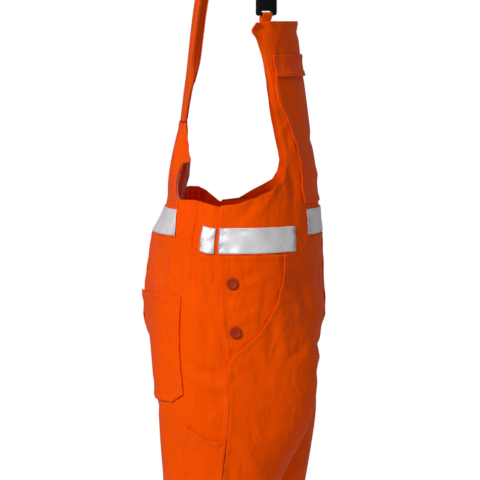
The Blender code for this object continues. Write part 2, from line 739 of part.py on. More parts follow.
def make_bib_front(bib):
    sewn("front_bib", bib)
    right_half = list(range(WING_COLUMNS, WING_COLUMNS + POCKET_COLUMNS + 1))
    middle = right_half + mirrored(right_half)[1:]
    flap_rows = [FLAP_TOP_ROW, FLAP_TOP_ROW + 0.5, FLAP_BOTTOM_ROW]
    across = len(middle)
    flap_puff = np.array(((0.0,) * across, (0.0012,) * across, (0.0026,) * across))
    laid_on("bib_pocket_flap", bib, flap_rows, middle, cloth=POCKET_CLOTH, puff=flap_puff)
    pocket_rows = [POCKET_TOP_ROW, FLAP_BOTTOM_ROW + 0.15] + list(range(5, TAPE_TOP_ROW))
    puff = np.zeros((len(pocket_rows), across))
    puff[1, 1:-1] = 0.0012
    puff[2, 2:-2] = 0.0035
    puff[3, 2:-2] = 0.0030
    laid_on("bib_pocket", bib, pocket_rows, middle, cloth=POCKET_CLOTH, puff=puff)
    tape_rows = [TAPE_TOP_ROW, TAPE_TOP_ROW + 1, TAPE_TOP_ROW + 2]
    laid_on("tape_front", bib, tape_rows, middle, SILVER)
    side_columns = [0.05, 1, 2, 3, 4]
    laid_on("tape_side_right", bib, tape_rows, side_columns, SILVER)
    laid_on("tape_side_left", bib, tape_rows, mirrored(side_columns), SILVER)


def make_bib_back():
    """Back panel from the straps to the waist seam, with its tape and the bands inside its edges."""
    half = BACK_BIB_COLUMN_COUNT
    girths, heights = [], []
    for height, right, left in BACK_BIB:
        turns = lines(right, (half, -1.0), (half, -2 - left))
        girths.append(turns)
        heights.append([height] * len(turns))
    for (right, left), above in zip(BACK_BIB_TAPE, ROWS_ABOVE_SEAM):
        turns = lines(right, (half, -1.0), (half, -2 - left))
        girths.append(turns)
        heights.append(waist_row([from_girth(girth)[1] for girth in turns], above))
    back = Panel(None, girths, heights, seam_row=-1)
    sewn("back_bib", back)
    first = len(BACK_BIB)
    last_column = 2 * half
    laid_on("tape_back", back, [first, first + 1, first + 2], list(range(last_column + 1)), SILVER)
    band_rows = list(range(4, first + 1))
    near = [0, EDGE_BAND_COLUMNS]
    far = [last_column - EDGE_BAND_COLUMNS, last_column]
    laid_in("back_edge_band_right", back, band_rows, near, GREY, EDGE_BAND_THICK)
    laid_in("back_edge_band_left", back, band_rows, far, GREY, EDGE_BAND_THICK)


def waist_edge(side, height):
    """Where the elasticated waist meets the back panel."""
    heights = [row[0] for row in BACK_BIB[-3:]] + [WAIST_CENTRE + above for above in ROWS_ABOVE_SEAM]
    place = 0 if side == RIGHT else 1
    turns = [row[1 + place] for row in BACK_BIB[-3:]] + [pair[place] for pair in BACK_BIB_TAPE]
    return float(np.interp(-height, [-h for h in heights], turns)) + WAIST_EDGE_GAP


def make_waist(word, side):
    """Elasticated waist with upright gathers, ending in the underlap of the side opening."""
    elastic_end = HIP_TAPE_BACK_END
    steps = GATHERS * GATHER_STEPS
    rows = 6
    turns, heights, lifts = [], [], []
    for i in range(rows):
        row_turns, row_heights, row_lifts = [], [], []
        for j in range(steps + 5):
            guess = mix(waist_edge(side, -0.470), elastic_end, min(j / steps, 1.0))
            if j > steps:
                guess = (-0.205, -0.150, -0.125, WAIST_LAP_END)[j - steps - 1]
            seam = waist_seam(guess)
            top = waist_top[side](guess)
            tape_top = seam + TAPE_ABOVE_SEAM + TAPE_WIDTH
            level = (top, mix(top, tape_top, 0.5), tape_top, seam + TAPE_ABOVE_SEAM + TAPE_WIDTH / 2,
                     seam + TAPE_ABOVE_SEAM, seam + SEAM_GAP / 2)[i]  # fmt: skip
            turn = guess
            if j < steps:
                turn = mix(waist_edge(side, level), elastic_end, j / steps)
            wave = GATHER_DEPTH * (math.cos(2 * math.pi * j / GATHER_STEPS) - 1) if j < steps else 0.0
            dip = WAIST_LAP_DIP * ease(turn, -0.205, -0.150)
            row_turns.append(turn)
            row_heights.append(level)
            row_lifts.append(wave * (0.4 if i == rows - 1 else 1.0) + dip)
        turns.append(row_turns)
        heights.append(row_heights)
        lifts.append(row_lifts)
    waist = Panel(side, turns, heights, lifts, seam_row=-1)
    sewn(f"waist_gather_{word}", waist)
    laid_on(f"tape_hip_{word}", waist, [2, 3, 4], [steps, steps + 1, steps + 2], SILVER)


# ---- straps, loops, buckles and buttons ----


def strap_grids(side):
    """Outer and inner grid of one strap, which curls a little across its width."""
    keys = np.array(STRAP, float)
    along = np.linspace(0, len(STRAP) - 1, STRAP_STATIONS)
    ranks = [(k,) + tuple(row) for k, row in enumerate(STRAP)]
    names = ("rank",) + STRAP_COLUMNS
    read = [curve(ranks, names, name) for name in STRAP_COLUMNS]
    centre = np.array([[r(t) for r in read[:3]] for t in along])
    turn = [math.radians(read[3](t)) for t in along]
    run = np.gradient(centre, axis=0)
    middle = keys[:, :3].mean(axis=0) + np.array((0, -0.01, -0.05))
    outer, inner = [], []
    for k, place in enumerate(centre):
        tangent = run[k] / np.linalg.norm(run[k])
        width = np.array((math.cos(turn[k]), math.sin(turn[k]), 0.0))
        square = np.cross(width, tangent)
        square /= np.linalg.norm(square)
        if square @ (place - middle) < 0:
            square = -square
        row = []
        for share in (-1.0, -0.55, 0.0, 0.55, 1.0):
            row.append(place + share * STRAP_WIDTH / 2 * width - STRAP_CURL * share * share * square)
        row = np.array(row)
        outer.append(row + STRAP_THICK / 2 * square)
        inner.append(row - STRAP_THICK / 2 * square)
    flip = np.array((-side, 1, 1))
    return np.array(outer) * flip, np.array(inner) * flip


def make_strap(word, side):
    outer, inner = strap_grids(side)
    wall(f"strap_{word}", outer, inner, ORANGE)


def buckle_frame(side):
    """Place and axes (across, up, out) at the cloth loop, for the buckle over it."""
    place = form(side, TAB_TURN, BIB_TOP)
    square = outward(side, TAB_TURN, BIB_TOP)
    square[2] = 0.0
    square /= np.linalg.norm(square)
    up = np.array((0.0, 0.0, 1.0))
    return place, np.cross(up, square), up, square


def tab_path():
    """Heights over the bib top and depths of the loop's inner face: up, over the bar and down, behind the bib."""
    bar = BUCKLE_BAR_HEIGHT - BIB_TOP
    around = BUCKLE_BAR_RADIUS + BAR_CLEAR
    near = -TWILL - TAB_CLEAR - POCKET_CLOTH
    far = near - TAB_FOLD_GAP
    path = [(-TAB_SEWN, near), (-0.006, near), (0.0015, near)]
    for k in range(7):
        angle = math.pi * k / 6
        path.append((bar + around * math.sin(angle), -TWILL / 2 + around * math.cos(angle)))
    return np.array(path + [(0.0015, far), (-0.006, far), (-TAB_SEWN, far)])


def make_tab(word, side):
    """Cloth loop: folded round the buckle's bar, with both ends sewn on behind the bib top."""
    place, across, up, out = buckle_frame(side)
    path = tab_path()
    runs = np.gradient(path, axis=0)
    inner, outer = [], []
    for (height, depth), run in zip(path, runs):
        away = np.array((run[1], -run[0])) / -np.linalg.norm(run)
        inner_row, outer_row = [], []
        for share in (-1.0, 0.0, 1.0):
            lean = tab_lean(side, share, height)
            base = place + share * TAB_HALF_WIDTH * across + height * up + (depth + lean) * out
            inner_row.append(base)
            outer_row.append(base + POCKET_CLOTH * (away[0] * up + away[1] * out))
        inner.append(inner_row)
        outer.append(outer_row)
    wall(f"strap_tab_{word}", np.array(outer), np.array(inner), ORANGE)


def tab_lean(side, share, height):
    """How far the round face of the bib lies from the buckle's flat plane at a place on the loop."""
    place, across, up, out = buckle_frame(side)
    turn = TAB_TURN + share * TAB_HALF_TURN * turn_sign(side)
    there = form(side, turn, BIB_TOP + min(height, 0.0))
    return float((there - place) @ out) * (1 - ease(height, 0.0, 0.010))


def turn_sign(side):
    """Whether the turn grows along the buckle's across axis."""
    place, across, up, out = buckle_frame(side)
    ahead = form(side, TAB_TURN + 0.05, BIB_TOP) - place
    return 1.0 if ahead @ across > 0 else -1.0


def prism(outline, low, high, frame, name, finish_of):
    """An outline in the buckle's plane, given a thickness along its out axis."""
    place, across, up, out = frame
    count = len(outline)
    points = [place + a * across + b * up + depth * out for depth in (low, high) for a, b in outline]
    faces = [tuple(range(count - 1, -1, -1)), tuple(range(count, 2 * count))]
    for k in range(count):
        n = (k + 1) % count
        faces.append((k, n, n + count, k + count))
    made = finish(points, faces, name, finish_of)
    made.data.update()
    return made


def rounded(width, bottom, top, corner, steps=3):
    """Outline of a rounded rectangle centred on the loop, anticlockwise."""
    points = []
    half = width / 2 - corner
    for centre, start in (
        ((half, bottom + corner), -90),
        ((half, top - corner), 0),
        ((-half, top - corner), 90),
        ((-half, bottom + corner), 180),
    ):
        for k in range(steps + 1):
            angle = math.radians(start + 90 * k / steps)
            points.append((centre[0] + corner * math.cos(angle), centre[1] + corner * math.sin(angle)))
    return points


def cut(body, cutter):
    """Cut one solid out of another with an exact Boolean."""
    modifier = body.modifiers.new("cut", "BOOLEAN")
    modifier.operation = "DIFFERENCE"
    modifier.solver = "EXACT"
    modifier.object = cutter
    cutter.hide_render = True
    cutter.display_type = "WIRE"


def make_buckle(word, side):
    """Side-release buckle: the socket hangs its bar in the cloth loop, the plug enters from above."""
    frame = buckle_frame(side)
    middle = -TWILL / 2
    bar = BUCKLE_BAR_HEIGHT - BIB_TOP
    bottom = bar - BUCKLE_BAR_RADIUS
    slot_top = bar + 0.0075
    top = bottom + SOCKET_LENGTH
    low, high = middle - BUCKLE_THICK / 2, middle + BUCKLE_THICK / 2
    socket = prism(rounded(BUCKLE_WIDTH, bottom, top, 0.005), low, high, frame, f"buckle_socket_{word}", BLACK)
    gap = BUCKLE_WIDTH - 2 * PRONG_WIDTH
    window = rounded(gap, bar + BUCKLE_BAR_RADIUS, slot_top, 0.0015, 1)
    cut(socket, prism(window, low - 0.01, high + 0.01, frame, f"cutter_window_{word}", BLACK))
    for face, label in ((high, "front"), (low, "back")):
        depth = (BUCKLE_THICK / 2 - BUCKLE_BAR_RADIUS) * (1 if face == high else -1)
        start, end = sorted((face - depth, face + 0.01 * (1 if face == high else -1)))
        recess = [(-gap / 2, bottom - 0.01), (gap / 2, bottom - 0.01), (gap / 2, bar + 0.003), (-gap / 2, bar + 0.003)]
        cut(socket, prism(recess, start, end, frame, f"cutter_{label}_{word}", BLACK))
    plug_bottom = top + SEAM_GAP
    plug_top = plug_bottom + PLUG_LENGTH
    plug = prism(rounded(BUCKLE_WIDTH - 0.004, plug_bottom, plug_top, 0.004), low + 0.001, high - 0.001, frame,
                 f"buckle_plug_{word}", BLACK)  # fmt: skip
    slot = rounded(gap, plug_bottom + 0.006, plug_top - 0.005, 0.001, 1)
    cut(plug, prism(slot, low - 0.01, high + 0.01, frame, f"cutter_slot_{word}", BLACK))


def make_buttons(word, side):
    """Domed buttons on the hip facing."""
    for label, turn, height in BUTTON_PLACES:
        place, out = form(side, turn, height), outward(side, turn, height)
        place = place + (BUTTON_CLEAR + fold(side, turn, height)) * out
        across = np.cross(out, (0.0, 0.0, 1.0))
        across /= np.linalg.norm(across)
        up = np.cross(across, out)
        rings = []
        for radius, rise in BUTTON_PROFILE:
            ring = []
            for k in range(BUTTON_STEPS):
                angle = 2 * math.pi * k / BUTTON_STEPS
                ring.append(place + radius * (math.cos(angle) * across + math.sin(angle) * up) + rise * out)
            rings.append(ring)
        points = [p for ring in rings for p in ring]
        faces = []
        for i in range(len(rings) - 1):
            for k in range(BUTTON_STEPS):
                a, b = i * BUTTON_STEPS + k, i * BUTTON_STEPS + (k + 1) % BUTTON_STEPS
                faces.append((a, a + BUTTON_STEPS, b + BUTTON_STEPS, b))
        last = (len(rings) - 1) * BUTTON_STEPS
        faces.append(tuple(range(BUTTON_STEPS)))
        faces.append(tuple(last + k for k in range(BUTTON_STEPS - 1, -1, -1)))
        if np.cross(across, up) @ out > 0:
            faces = [tuple(reversed(face)) for face in faces]
        finish(points, faces, f"button_{label}_{word}", BROWN)


def main():
    for thing in list(bpy.data.objects):
        bpy.data.objects.remove(thing)
    make_trousers()
    bib = bib_front()
    make_bib_front(bib)
    make_bib_back()
    for word, side in SIDES:
        make_waist(word, side)
        make_strap(word, side)
        make_tab(word, side)
        make_buckle(word, side)


main()
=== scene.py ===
import json
import math
import bmesh
import bpy
import numpy as np
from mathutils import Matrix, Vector, noise
from mathutils.bvhtree import BVHTree
from mathutils.kdtree import KDTree

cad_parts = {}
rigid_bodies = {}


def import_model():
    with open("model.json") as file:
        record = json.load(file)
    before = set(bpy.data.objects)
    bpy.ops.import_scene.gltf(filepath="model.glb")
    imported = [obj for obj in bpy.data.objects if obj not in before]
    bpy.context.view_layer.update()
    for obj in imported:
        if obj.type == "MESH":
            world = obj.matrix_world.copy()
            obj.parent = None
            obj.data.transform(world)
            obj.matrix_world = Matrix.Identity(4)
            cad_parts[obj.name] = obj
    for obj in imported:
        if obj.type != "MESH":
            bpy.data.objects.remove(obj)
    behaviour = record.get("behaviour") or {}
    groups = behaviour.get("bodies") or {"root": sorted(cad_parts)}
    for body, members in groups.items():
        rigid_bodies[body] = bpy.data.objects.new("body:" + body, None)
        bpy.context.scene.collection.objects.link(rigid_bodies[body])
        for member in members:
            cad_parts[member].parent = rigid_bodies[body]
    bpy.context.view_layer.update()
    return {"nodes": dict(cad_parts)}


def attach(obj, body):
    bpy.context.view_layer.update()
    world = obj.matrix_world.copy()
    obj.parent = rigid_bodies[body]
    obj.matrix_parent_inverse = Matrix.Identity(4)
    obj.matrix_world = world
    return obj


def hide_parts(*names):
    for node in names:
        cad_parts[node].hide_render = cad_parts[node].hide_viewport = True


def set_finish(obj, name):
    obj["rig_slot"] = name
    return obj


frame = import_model()


# The trouser legs and seat: two front and two back panels of fluorescent orange twill, a matt
# polyester and cotton work cloth with a fine diagonal rib. The panels are felled together along
# the sides, the inseams and the fork, so rows of thread run beside each of those edges.


def only(piece):
    """Select one object and nothing else."""
    if bpy.context.object and bpy.context.object.mode != "OBJECT":
        bpy.ops.object.mode_set(mode="OBJECT")
    bpy.ops.object.select_all(action="DESELECT")
    piece.select_set(True)
    bpy.context.view_layer.objects.active = piece


def linear(hex_colour):
    """An sRGB hex colour as the linear colour that a shader takes."""
    parts = [int(hex_colour[k : k + 2], 16) / 255 for k in (1, 3, 5)]
    return tuple(p / 12.92 if p <= 0.04045 else ((p + 0.055) / 1.055) ** 2.4 for p in parts) + (1.0,)


def add_node(tree, kind, settings=(), links=()):
    """Add one node: settings by input or attribute name, links as (input, other node, its output)."""
    node = tree.nodes.new(kind)
    for name, value in dict(settings).items():
        if name in node.inputs:
            node.inputs[name].default_value = value
        else:
            setattr(node, name, value)
    for name, other, output in links:
        tree.links.new(other.outputs[output], node.inputs[name])
    return node


def new_material(name, **settings):
    """A material with these shader inputs; gives it with its node tree and its shader."""
    material = bpy.data.materials.new(name)
    material.use_nodes = True
    shader = material.node_tree.nodes["Principled BSDF"]
    for key, value in settings.items():
        shader.inputs[key.replace("_", " ")].default_value = value
    return material, material.node_tree, shader


def two_toned(tree, value, output, low, high):
    """A colour ramp from the low colour to the high one, by another node's value."""
    ramp = add_node(tree, "ShaderNodeValToRGB", (), [("Fac", value, output)])
    ramp.color_ramp.elements[0].color = linear(low)
    ramp.color_ramp.elements[1].color = linear(high)
    return ramp


def raise_by(tree, shader, value, output, strength, distance, under=()):
    """Raise the surface by another node's value."""
    bump = add_node(tree, "ShaderNodeBump", {"Strength": strength, "Distance": distance},
                    [("Height", value, output), *under])
    tree.links.new(bump.outputs["Normal"], shader.inputs["Normal"])


def times(tree, first, second):
    """The product of two textures."""
    both = add_node(tree, "ShaderNodeMath", {"operation": "MULTIPLY"}, [(0, first, "Fac")])
    tree.links.new(second.outputs["Fac"], both.inputs[1])
    return both


def speckle(tree, place, scale, detail):
    """A noise texture over the object's own coordinates."""
    return add_node(tree, "ShaderNodeTexNoise", {"Scale": scale, "Detail": detail},
                    [("Vector", place, "Object")])


def bands(mm):
    """The scale of a wave texture whose bands stand this far apart."""
    return 314 / mm


def ease(value, start, end):
    """0 before start, 1 after end, smooth between them; takes arrays."""
    t = np.clip((value - start) / (end - start), 0.0, 1.0)
    return t * t * (3 - 2 * t)


# half sizes of the hips and of a leg, a leg's distance from the middle, and how far it has stepped
hip_x, hip_y, thigh_x, thigh_y, leg_middle, step = 0.19, 0.165, 0.095, 0.11, 0.106, 0.034


def outward(points):
    """The level direction out of the hips, or out of the nearer leg below the fork."""
    x, y, z = points.T
    side = np.where(x < 0, -1.0, 1.0)
    hips = np.stack([x / hip_x**2, y / hip_y**2, 0 * z], axis=1)
    stride = -side * step * ease(-z, 0.80, 1.03)
    leg = np.stack([(x - side * leg_middle) / thigh_x**2, (y - stride) / thigh_y**2, 0 * z], axis=1)
    hips /= np.linalg.norm(hips, axis=1)[:, None] + 1e-9
    leg /= np.linalg.norm(leg, axis=1)[:, None] + 1e-9
    share = ease(-z, 0.72, 0.88)[:, None]
    mixed = hips * (1 - share) + leg * share
    return mixed / (np.linalg.norm(mixed, axis=1)[:, None] + 1e-9)


def bare_copy(node, name):
    """A copy of a CAD mesh with its doubles merged, left in edit mode with everything selected."""
    piece = bpy.data.objects.new(name, frame["nodes"][node].data.copy())
    bpy.context.scene.collection.objects.link(piece)
    piece.data.materials.clear()
    only(piece)
    bpy.ops.object.mode_set(mode="EDIT")
    bpy.ops.mesh.select_all(action="SELECT")
    bpy.ops.mesh.remove_doubles(threshold=0.00003)
    return piece


def copy_of(node, name, levels):
    """A finer copy of a CAD panel: triangles paired, edges kept sharp, subdivided."""
    piece = bare_copy(node, name)
    bpy.ops.mesh.tris_convert_to_quads(face_threshold=math.radians(60), shape_threshold=math.radians(80),
                                       topology_influence=1.2)
    bpy.ops.mesh.select_all(action="DESELECT")
    bpy.ops.mesh.edges_select_sharp(sharpness=math.radians(58))
    bpy.ops.transform.edge_crease(value=1.0)
    bpy.ops.object.mode_set(mode="OBJECT")
    finer = piece.modifiers.new("finer", "SUBSURF")
    finer.levels = finer.render_levels = levels
    bpy.ops.object.modifier_apply(modifier="finer")
    bpy.ops.object.shade_smooth()
    return piece


def points_of(piece):
    """A piece's points, as rows of x, y, z."""
    flat = np.empty(len(piece.data.vertices) * 3)
    piece.data.vertices.foreach_get("co", flat)
    return flat.reshape(-1, 3)


def set_points(piece, points):
    """Move a piece's points."""
    piece.data.vertices.foreach_set("co", points.ravel())
    piece.data.update()


def crease_depth(points, crease):
    """How far one crease moves each point. Its path is seen from a side (y, z), or front or back (x, z)."""
    face, width, depth, *path = crease
    x, y, z = points.T
    seen = {"right": x < 0, "left": x > 0, "front": y < 0, "back": y > 0}[face]
    across = y if face in ("right", "left") else x
    place = np.stack([across, z], axis=1) * 1000
    total = np.zeros(len(points))
    for k, (a, b) in enumerate(zip(path, path[1:])):
        start, run = np.array(a), np.array(b) - np.array(a)
        share = np.clip((place - start) @ run / (run @ run), 0.0, 1.0)
        away = np.linalg.norm(place - start - share[:, None] * run, axis=1)
        along = (k + share) / (len(path) - 1)
        swell = 0.25 + 0.75 * np.sin(math.pi * np.clip(along, 0.0, 1.0))
        total = np.maximum(total, swell * np.exp(-((away / width) ** 2)))
    return total * depth / 1000 * seen


def outer_loops(piece):
    """The closed rows of points round a cloth's outer face, which lies on their left."""
    shape = bmesh.new()
    shape.from_mesh(piece.data)
    shape.faces.ensure_lookup_table()
    centres = np.array([face.calc_center_median() for face in shape.faces])
    normals = np.array([face.normal for face in shape.faces])
    areas = np.array([face.calc_area() for face in shape.faces])
    facing = np.einsum("ij,ij->i", outward(centres), normals)
    open_faces = [shape.faces[int(np.argmax(facing * areas))]]
    reached = set(open_faces)
    while open_faces:
        face = open_faces.pop()
        for edge in face.edges:
            for other in edge.link_faces:
                if other not in reached and face.normal.angle(other.normal, 0) < math.radians(42):
                    reached.add(other)
                    open_faces.append(other)
    after = {}
    for face in shape.faces:
        for corner in face.loops:
            if face in reached and any(other not in reached for other in corner.edge.link_faces):
                after.setdefault(corner.vert.index, []).append(corner.link_loop_next.vert.index)
    shape.verts.ensure_lookup_table()
    loops = []
    while after:
        walk = [next(iter(after))]
        while walk[-1] in after:
            ways = after[walk[-1]]
            if len(ways) == 1:
                del after[walk[-1]]
            walk.append(ways.pop())
        loops.append(np.array([shape.verts[k].co for k in walk]))
    shape.free()
    return [loop for loop in loops if len(loop) > 12]


def crumple(piece, creases, hem, ripple=0.0009, pucker=0.0007):
    """Press into both faces of a cloth its creases, a faint unevenness and its thick, puckered edges."""
    points = points_of(piece)
    out = outward(points)
    push = np.zeros(len(points))
    for crease in creases:
        push += crease_depth(points, crease)
    edge = np.concatenate(outer_loops(piece))
    lengths = np.minimum(np.linalg.norm(np.diff(edge, axis=0), axis=1), 0.02)
    steps = np.concatenate([[0], np.cumsum(lengths)])
    tree = KDTree(len(edge))
    for k, place in enumerate(edge):
        tree.insert(place, k)
    tree.balance()
    for k, place in enumerate(points):
        _, near, away = tree.find(place)
        wave = math.sin(steps[near] / 0.0065 + 2.2 * math.sin(steps[near] / 0.031))
        push[k] += pucker * wave * math.exp(-(((away - 0.007) / 0.009) ** 2))
        push[k] += hem * min(max((0.0100 - away) / 0.0030, 0.0), 1.0)
        push[k] += ripple * noise.noise(Vector((place[0] * 18, place[1] * 18, place[2] * 12)))
    set_points(piece, points + out * push[:, None])


def write_uv(piece, name, u, v):
    """Add a UV map from two values at each point."""
    corners = np.empty(len(piece.data.loops), dtype=int)
    piece.data.loops.foreach_get("vertex_index", corners)
    layer = piece.data.uv_layers.new(name=name)
    layer.data.foreach_set("uv", np.stack([u[corners], v[corners]], axis=1).ravel())


def lay_flat(piece):
    """A UV map in metres: round the body or the leg, and up."""
    points = points_of(piece)
    x, y, z = points.T
    side = np.sign(np.median(x)) if abs(np.median(x)) > 0.03 else 0.0
    share = ease(-z, 0.66, 0.86)
    middle_y = -side * step * ease(-z, 0.80, 1.03)
    back = np.median(y) > 0.02
    away_y = (y - middle_y) * (1 if back else -1)
    turn = np.arctan2(x - side * leg_middle * share, np.maximum(away_y, -0.5))
    write_uv(piece, "cloth", turn * (0.17 - 0.065 * share), z)


def twill(name, colour, dark, rib_mm, depth_mm):
    """Twill cloth: a diagonal rib of warp threads, faintly streaked, with a soft nap that catches light."""
    material, tree, shader = new_material(
        name, Roughness=0.5, Specular_IOR_Level=0.07, Specular_Tint=linear("#ff9a60"),
        Sheen_Weight=0.03, Sheen_Roughness=0.4, Sheen_Tint=linear("#ff7a30"))
    place = add_node(tree, "ShaderNodeUVMap", {"uv_map": "cloth"})
    spot = add_node(tree, "ShaderNodeTexCoord")
    turned = add_node(tree, "ShaderNodeMapping", {"Rotation": (0, 0, math.radians(63))},
                      [("Vector", place, "UV")])
    rib = add_node(tree, "ShaderNodeTexWave", {"Scale": bands(rib_mm), "Distortion": 0.6, "Detail": 1.0},
                   [("Vector", turned, "Vector")])
    streak = speckle(tree, spot, 260.0, 3.0)
    cloud = speckle(tree, spot, 9.0, 4.0)
    both = times(tree, rib, streak)
    tone = add_node(tree, "ShaderNodeMapRange", {"From Min": 0.1, "From Max": 0.7, "To Max": 0.35},
                    [("Value", both, "Value")])
    wide = add_node(tree, "ShaderNodeMapRange", {"From Min": 0.35, "From Max": 0.7, "To Max": 0.22},
                    [("Value", cloud, "Fac")])
    total = add_node(tree, "ShaderNodeMath", {"operation": "ADD"}, [(0, tone, "Result")])
    tree.links.new(wide.outputs["Result"], total.inputs[1])
    ramp = two_toned(tree, total, "Value", colour, dark)
    tree.links.new(ramp.outputs["Color"], shader.inputs["Base Color"])
    # small rumples 20 to 40 mm long, left by folding and wear
    tall = add_node(tree, "ShaderNodeMapping", {"Scale": (1.0, 1.0, 0.6)}, [("Vector", spot, "Object")])
    rumple = add_node(tree, "ShaderNodeTexNoise",
                      {"Scale": 30.0, "Detail": 2.0, "Roughness": 0.45, "Distortion": 0.6},
                      [("Vector", tall, "Vector")])
    soft = add_node(tree, "ShaderNodeBump", {"Strength": 0.7, "Distance": 0.0085},
                    [("Height", rumple, "Fac")])
    raise_by(tree, shader, both, "Value", 0.35, depth_mm / 1000, [("Normal", soft, "Normal")])
    return material


# 0.9 mm ribs: the real ones, near 0.5 mm, would be lost in the picture
orange_twill = twill("fluorescent_orange_twill", "#fa5400", "#d43f00", rib_mm=0.9, depth_mm=0.12)

# creases of the hips and legs, in mm: face, width, depth (minus is a trough), then the path's points
leg_creases = [
    # gathers that fan down from the elastic at the back of the waist
    ("right", 6, -3.4, (98, -562), (102, -590), (108, -618)),
    ("right", 7, -4.2, (127, -556), (133, -586), (136, -606)),
    ("right", 5, 3, (113, -556), (118, -596), (124, -622)),
    ("right", 6, -3.6, (74, -564), (77, -596), (71, -634)),
    ("right", 6, 2.6, (86, -566), (89, -606), (93, -646)),
    ("right", 6, -3.4, (52, -572), (53, -606), (44, -640)),
    ("right", 6, 2.4, (62, -570), (63, -604), (56, -642)),
    ("right", 5, -2.6, (37, -574), (36, -598), (40, -620)),
    ("right", 7, -3, (142, -575), (146, -600), (147, -622)),
    # soft crumples round the buttons and over the seat
    ("right", 8, -2.6, (30, -622), (14, -636), (-12, -640)),
    ("right", 7, 2.6, (-6, -606), (-22, -612), (-40, -608)),
    ("right", 8, -3, (-12, -596), (-30, -594), (-50, -586)),
    ("right", 8, -2.8, (-14, -640), (-30, -652), (-46, -646)),
    ("right", 9, 3, (4, -664), (-12, -674), (-34, -668)),
    ("right", 7, -2.6, (8, -690), (-2, -704), (-20, -708)),
    ("right", 9, -3.2, (62, -655), (50, -690), (44, -730)),
    ("right", 10, 3, (80, -650), (70, -690), (64, -735)),
    ("right", 9, -2.8, (36, -664), (28, -700), (16, -732)),
    ("right", 8, 2.6, (26, -650), (22, -672), (24, -700)),
    ("right", 10, -3, (84, -756), (60, -772), (26, -776)),
    ("right", 10, 2.8, (70, -788), (44, -800), (12, -796)),
    ("right", 9, -2.6, (40, -806), (26, -830), (22, -862)),
    ("right", 10, -2.6, (62, -808), (52, -838), (50, -872)),
    # the front: one long trough from the waist toward the fork, and smaller breaks round it
    ("right", 10, -3.4, (-118, -590), (-130, -640), (-150, -700)),
    ("right", 9, -3, (-104, -622), (-124, -612), (-152, -606)),
    ("right", 10, 3, (-106, -600), (-116, -650), (-138, -716)),
    ("right", 10, -3.4, (-136, -716), (-120, -742), (-92, -756)),
    ("right", 12, -2.6, (-52, -650), (-70, -700), (-74, -750)),
    ("right", 11, 2.2, (-80, -655), (-92, -700), (-94, -745)),
    ("right", 12, -2.6, (-30, -752), (-56, -776), (-90, -784)),
    ("right", 12, 2.4, (-18, -786), (-50, -806), (-90, -812)),
    ("right", 12, -3, (-50, -846), (-80, -866), (-112, -876)),
    ("right", 14, -3, (-24, -890), (-54, -920), (-80, -958)),
    ("right", 13, 2.6, (-10, -906), (-36, -944), (-52, -990)),
    ("right", 12, -2.6, (24, -910), (10, -956), (0, -1000)),
    # the wearer's left: the same kinds of crease, elsewhere
    ("left", 7, -4, (98, -562), (104, -604), (106, -640)),
    ("left", 7, -4.2, (126, -556), (133, -588), (140, -614)),
    ("left", 6, -3.6, (72, -564), (74, -600), (78, -634)),
    ("left", 6, 2.8, (112, -560), (118, -598), (120, -620)),
    ("left", 6, -3, (50, -574), (48, -612), (50, -640)),
    ("left", 6, 2.4, (61, -570), (61, -606), (64, -636)),
    ("left", 9, -3, (16, -632), (-6, -642), (-30, -638)),
    ("left", 8, -2.8, (-10, -600), (-30, -596), (-52, -590)),
    ("left", 10, -3, (60, -652), (46, -692), (36, -740)),
    ("left", 10, 2.8, (84, -656), (72, -700), (64, -745)),
    ("left", 10, -3.2, (-110, -596), (-128, -646), (-146, -706)),
    ("left", 10, -2.8, (-92, -630), (-122, -616), (-150, -612)),
    ("left", 12, 2.6, (-98, -650), (-118, -686), (-136, -730)),
    ("left", 12, -3, (46, -752), (6, -768), (-46, -762)),
    ("left", 12, 2.6, (60, -780), (10, -796), (-50, -792)),
    ("left", 14, -3.2, (-20, -890), (-70, -920), (-120, -940)),
    ("left", 14, -3, (40, -880), (16, -930), (4, -990)),
    # the seat
    ("back", 11, -4, (-20, -770), (-60, -790), (-110, -800)),
    ("back", 11, -4, (20, -772), (64, -795), (112, -802)),
    ("back", 12, -3.4, (-30, -830), (-80, -850), (-130, -846)),
    ("back", 12, -3.4, (30, -826), (74, -846), (126, -850)),
    ("back", 10, 2.6, (-24, -800), (-70, -822), (-120, -824)),
    ("back", 10, 2.6, (26, -798), (70, -820), (118, -826)),
    ("back", 10, -3, (-60, -610), (-36, -670), (-10, -720)),
    ("back", 10, -3, (64, -616), (38, -674), (12, -720)),
    ("back", 8, -3, (-40, -555), (-36, -600), (-30, -640)),
    ("back", 8, -3, (44, -555), (40, -596), (36, -632)),
    # the fork, from the front
    ("front", 10, -4.4, (-15, -748), (-60, -742), (-110, -722)),
    ("front", 10, -4.4, (15, -750), (62, -746), (115, -730)),
    ("front", 11, -3.6, (-20, -775), (-70, -790), (-120, -786)),
    ("front", 11, -3.6, (20, -776), (66, -794), (122, -792)),
    ("front", 10, 3, (-18, -762), (-66, -766), (-116, -752)),
    ("front", 10, 3, (18, -764), (64, -770), (118, -760)),
    ("front", 10, -3, (-12, -640), (-40, -680), (-86, -706)),
    ("front", 10, -3, (14, -630), (46, -676), (90, -704)),
    ("front", 9, -2.6, (-50, -575), (-60, -610), (-80, -640)),
    ("front", 9, -2.6, (52, -575), (66, -612), (78, -646)),
]
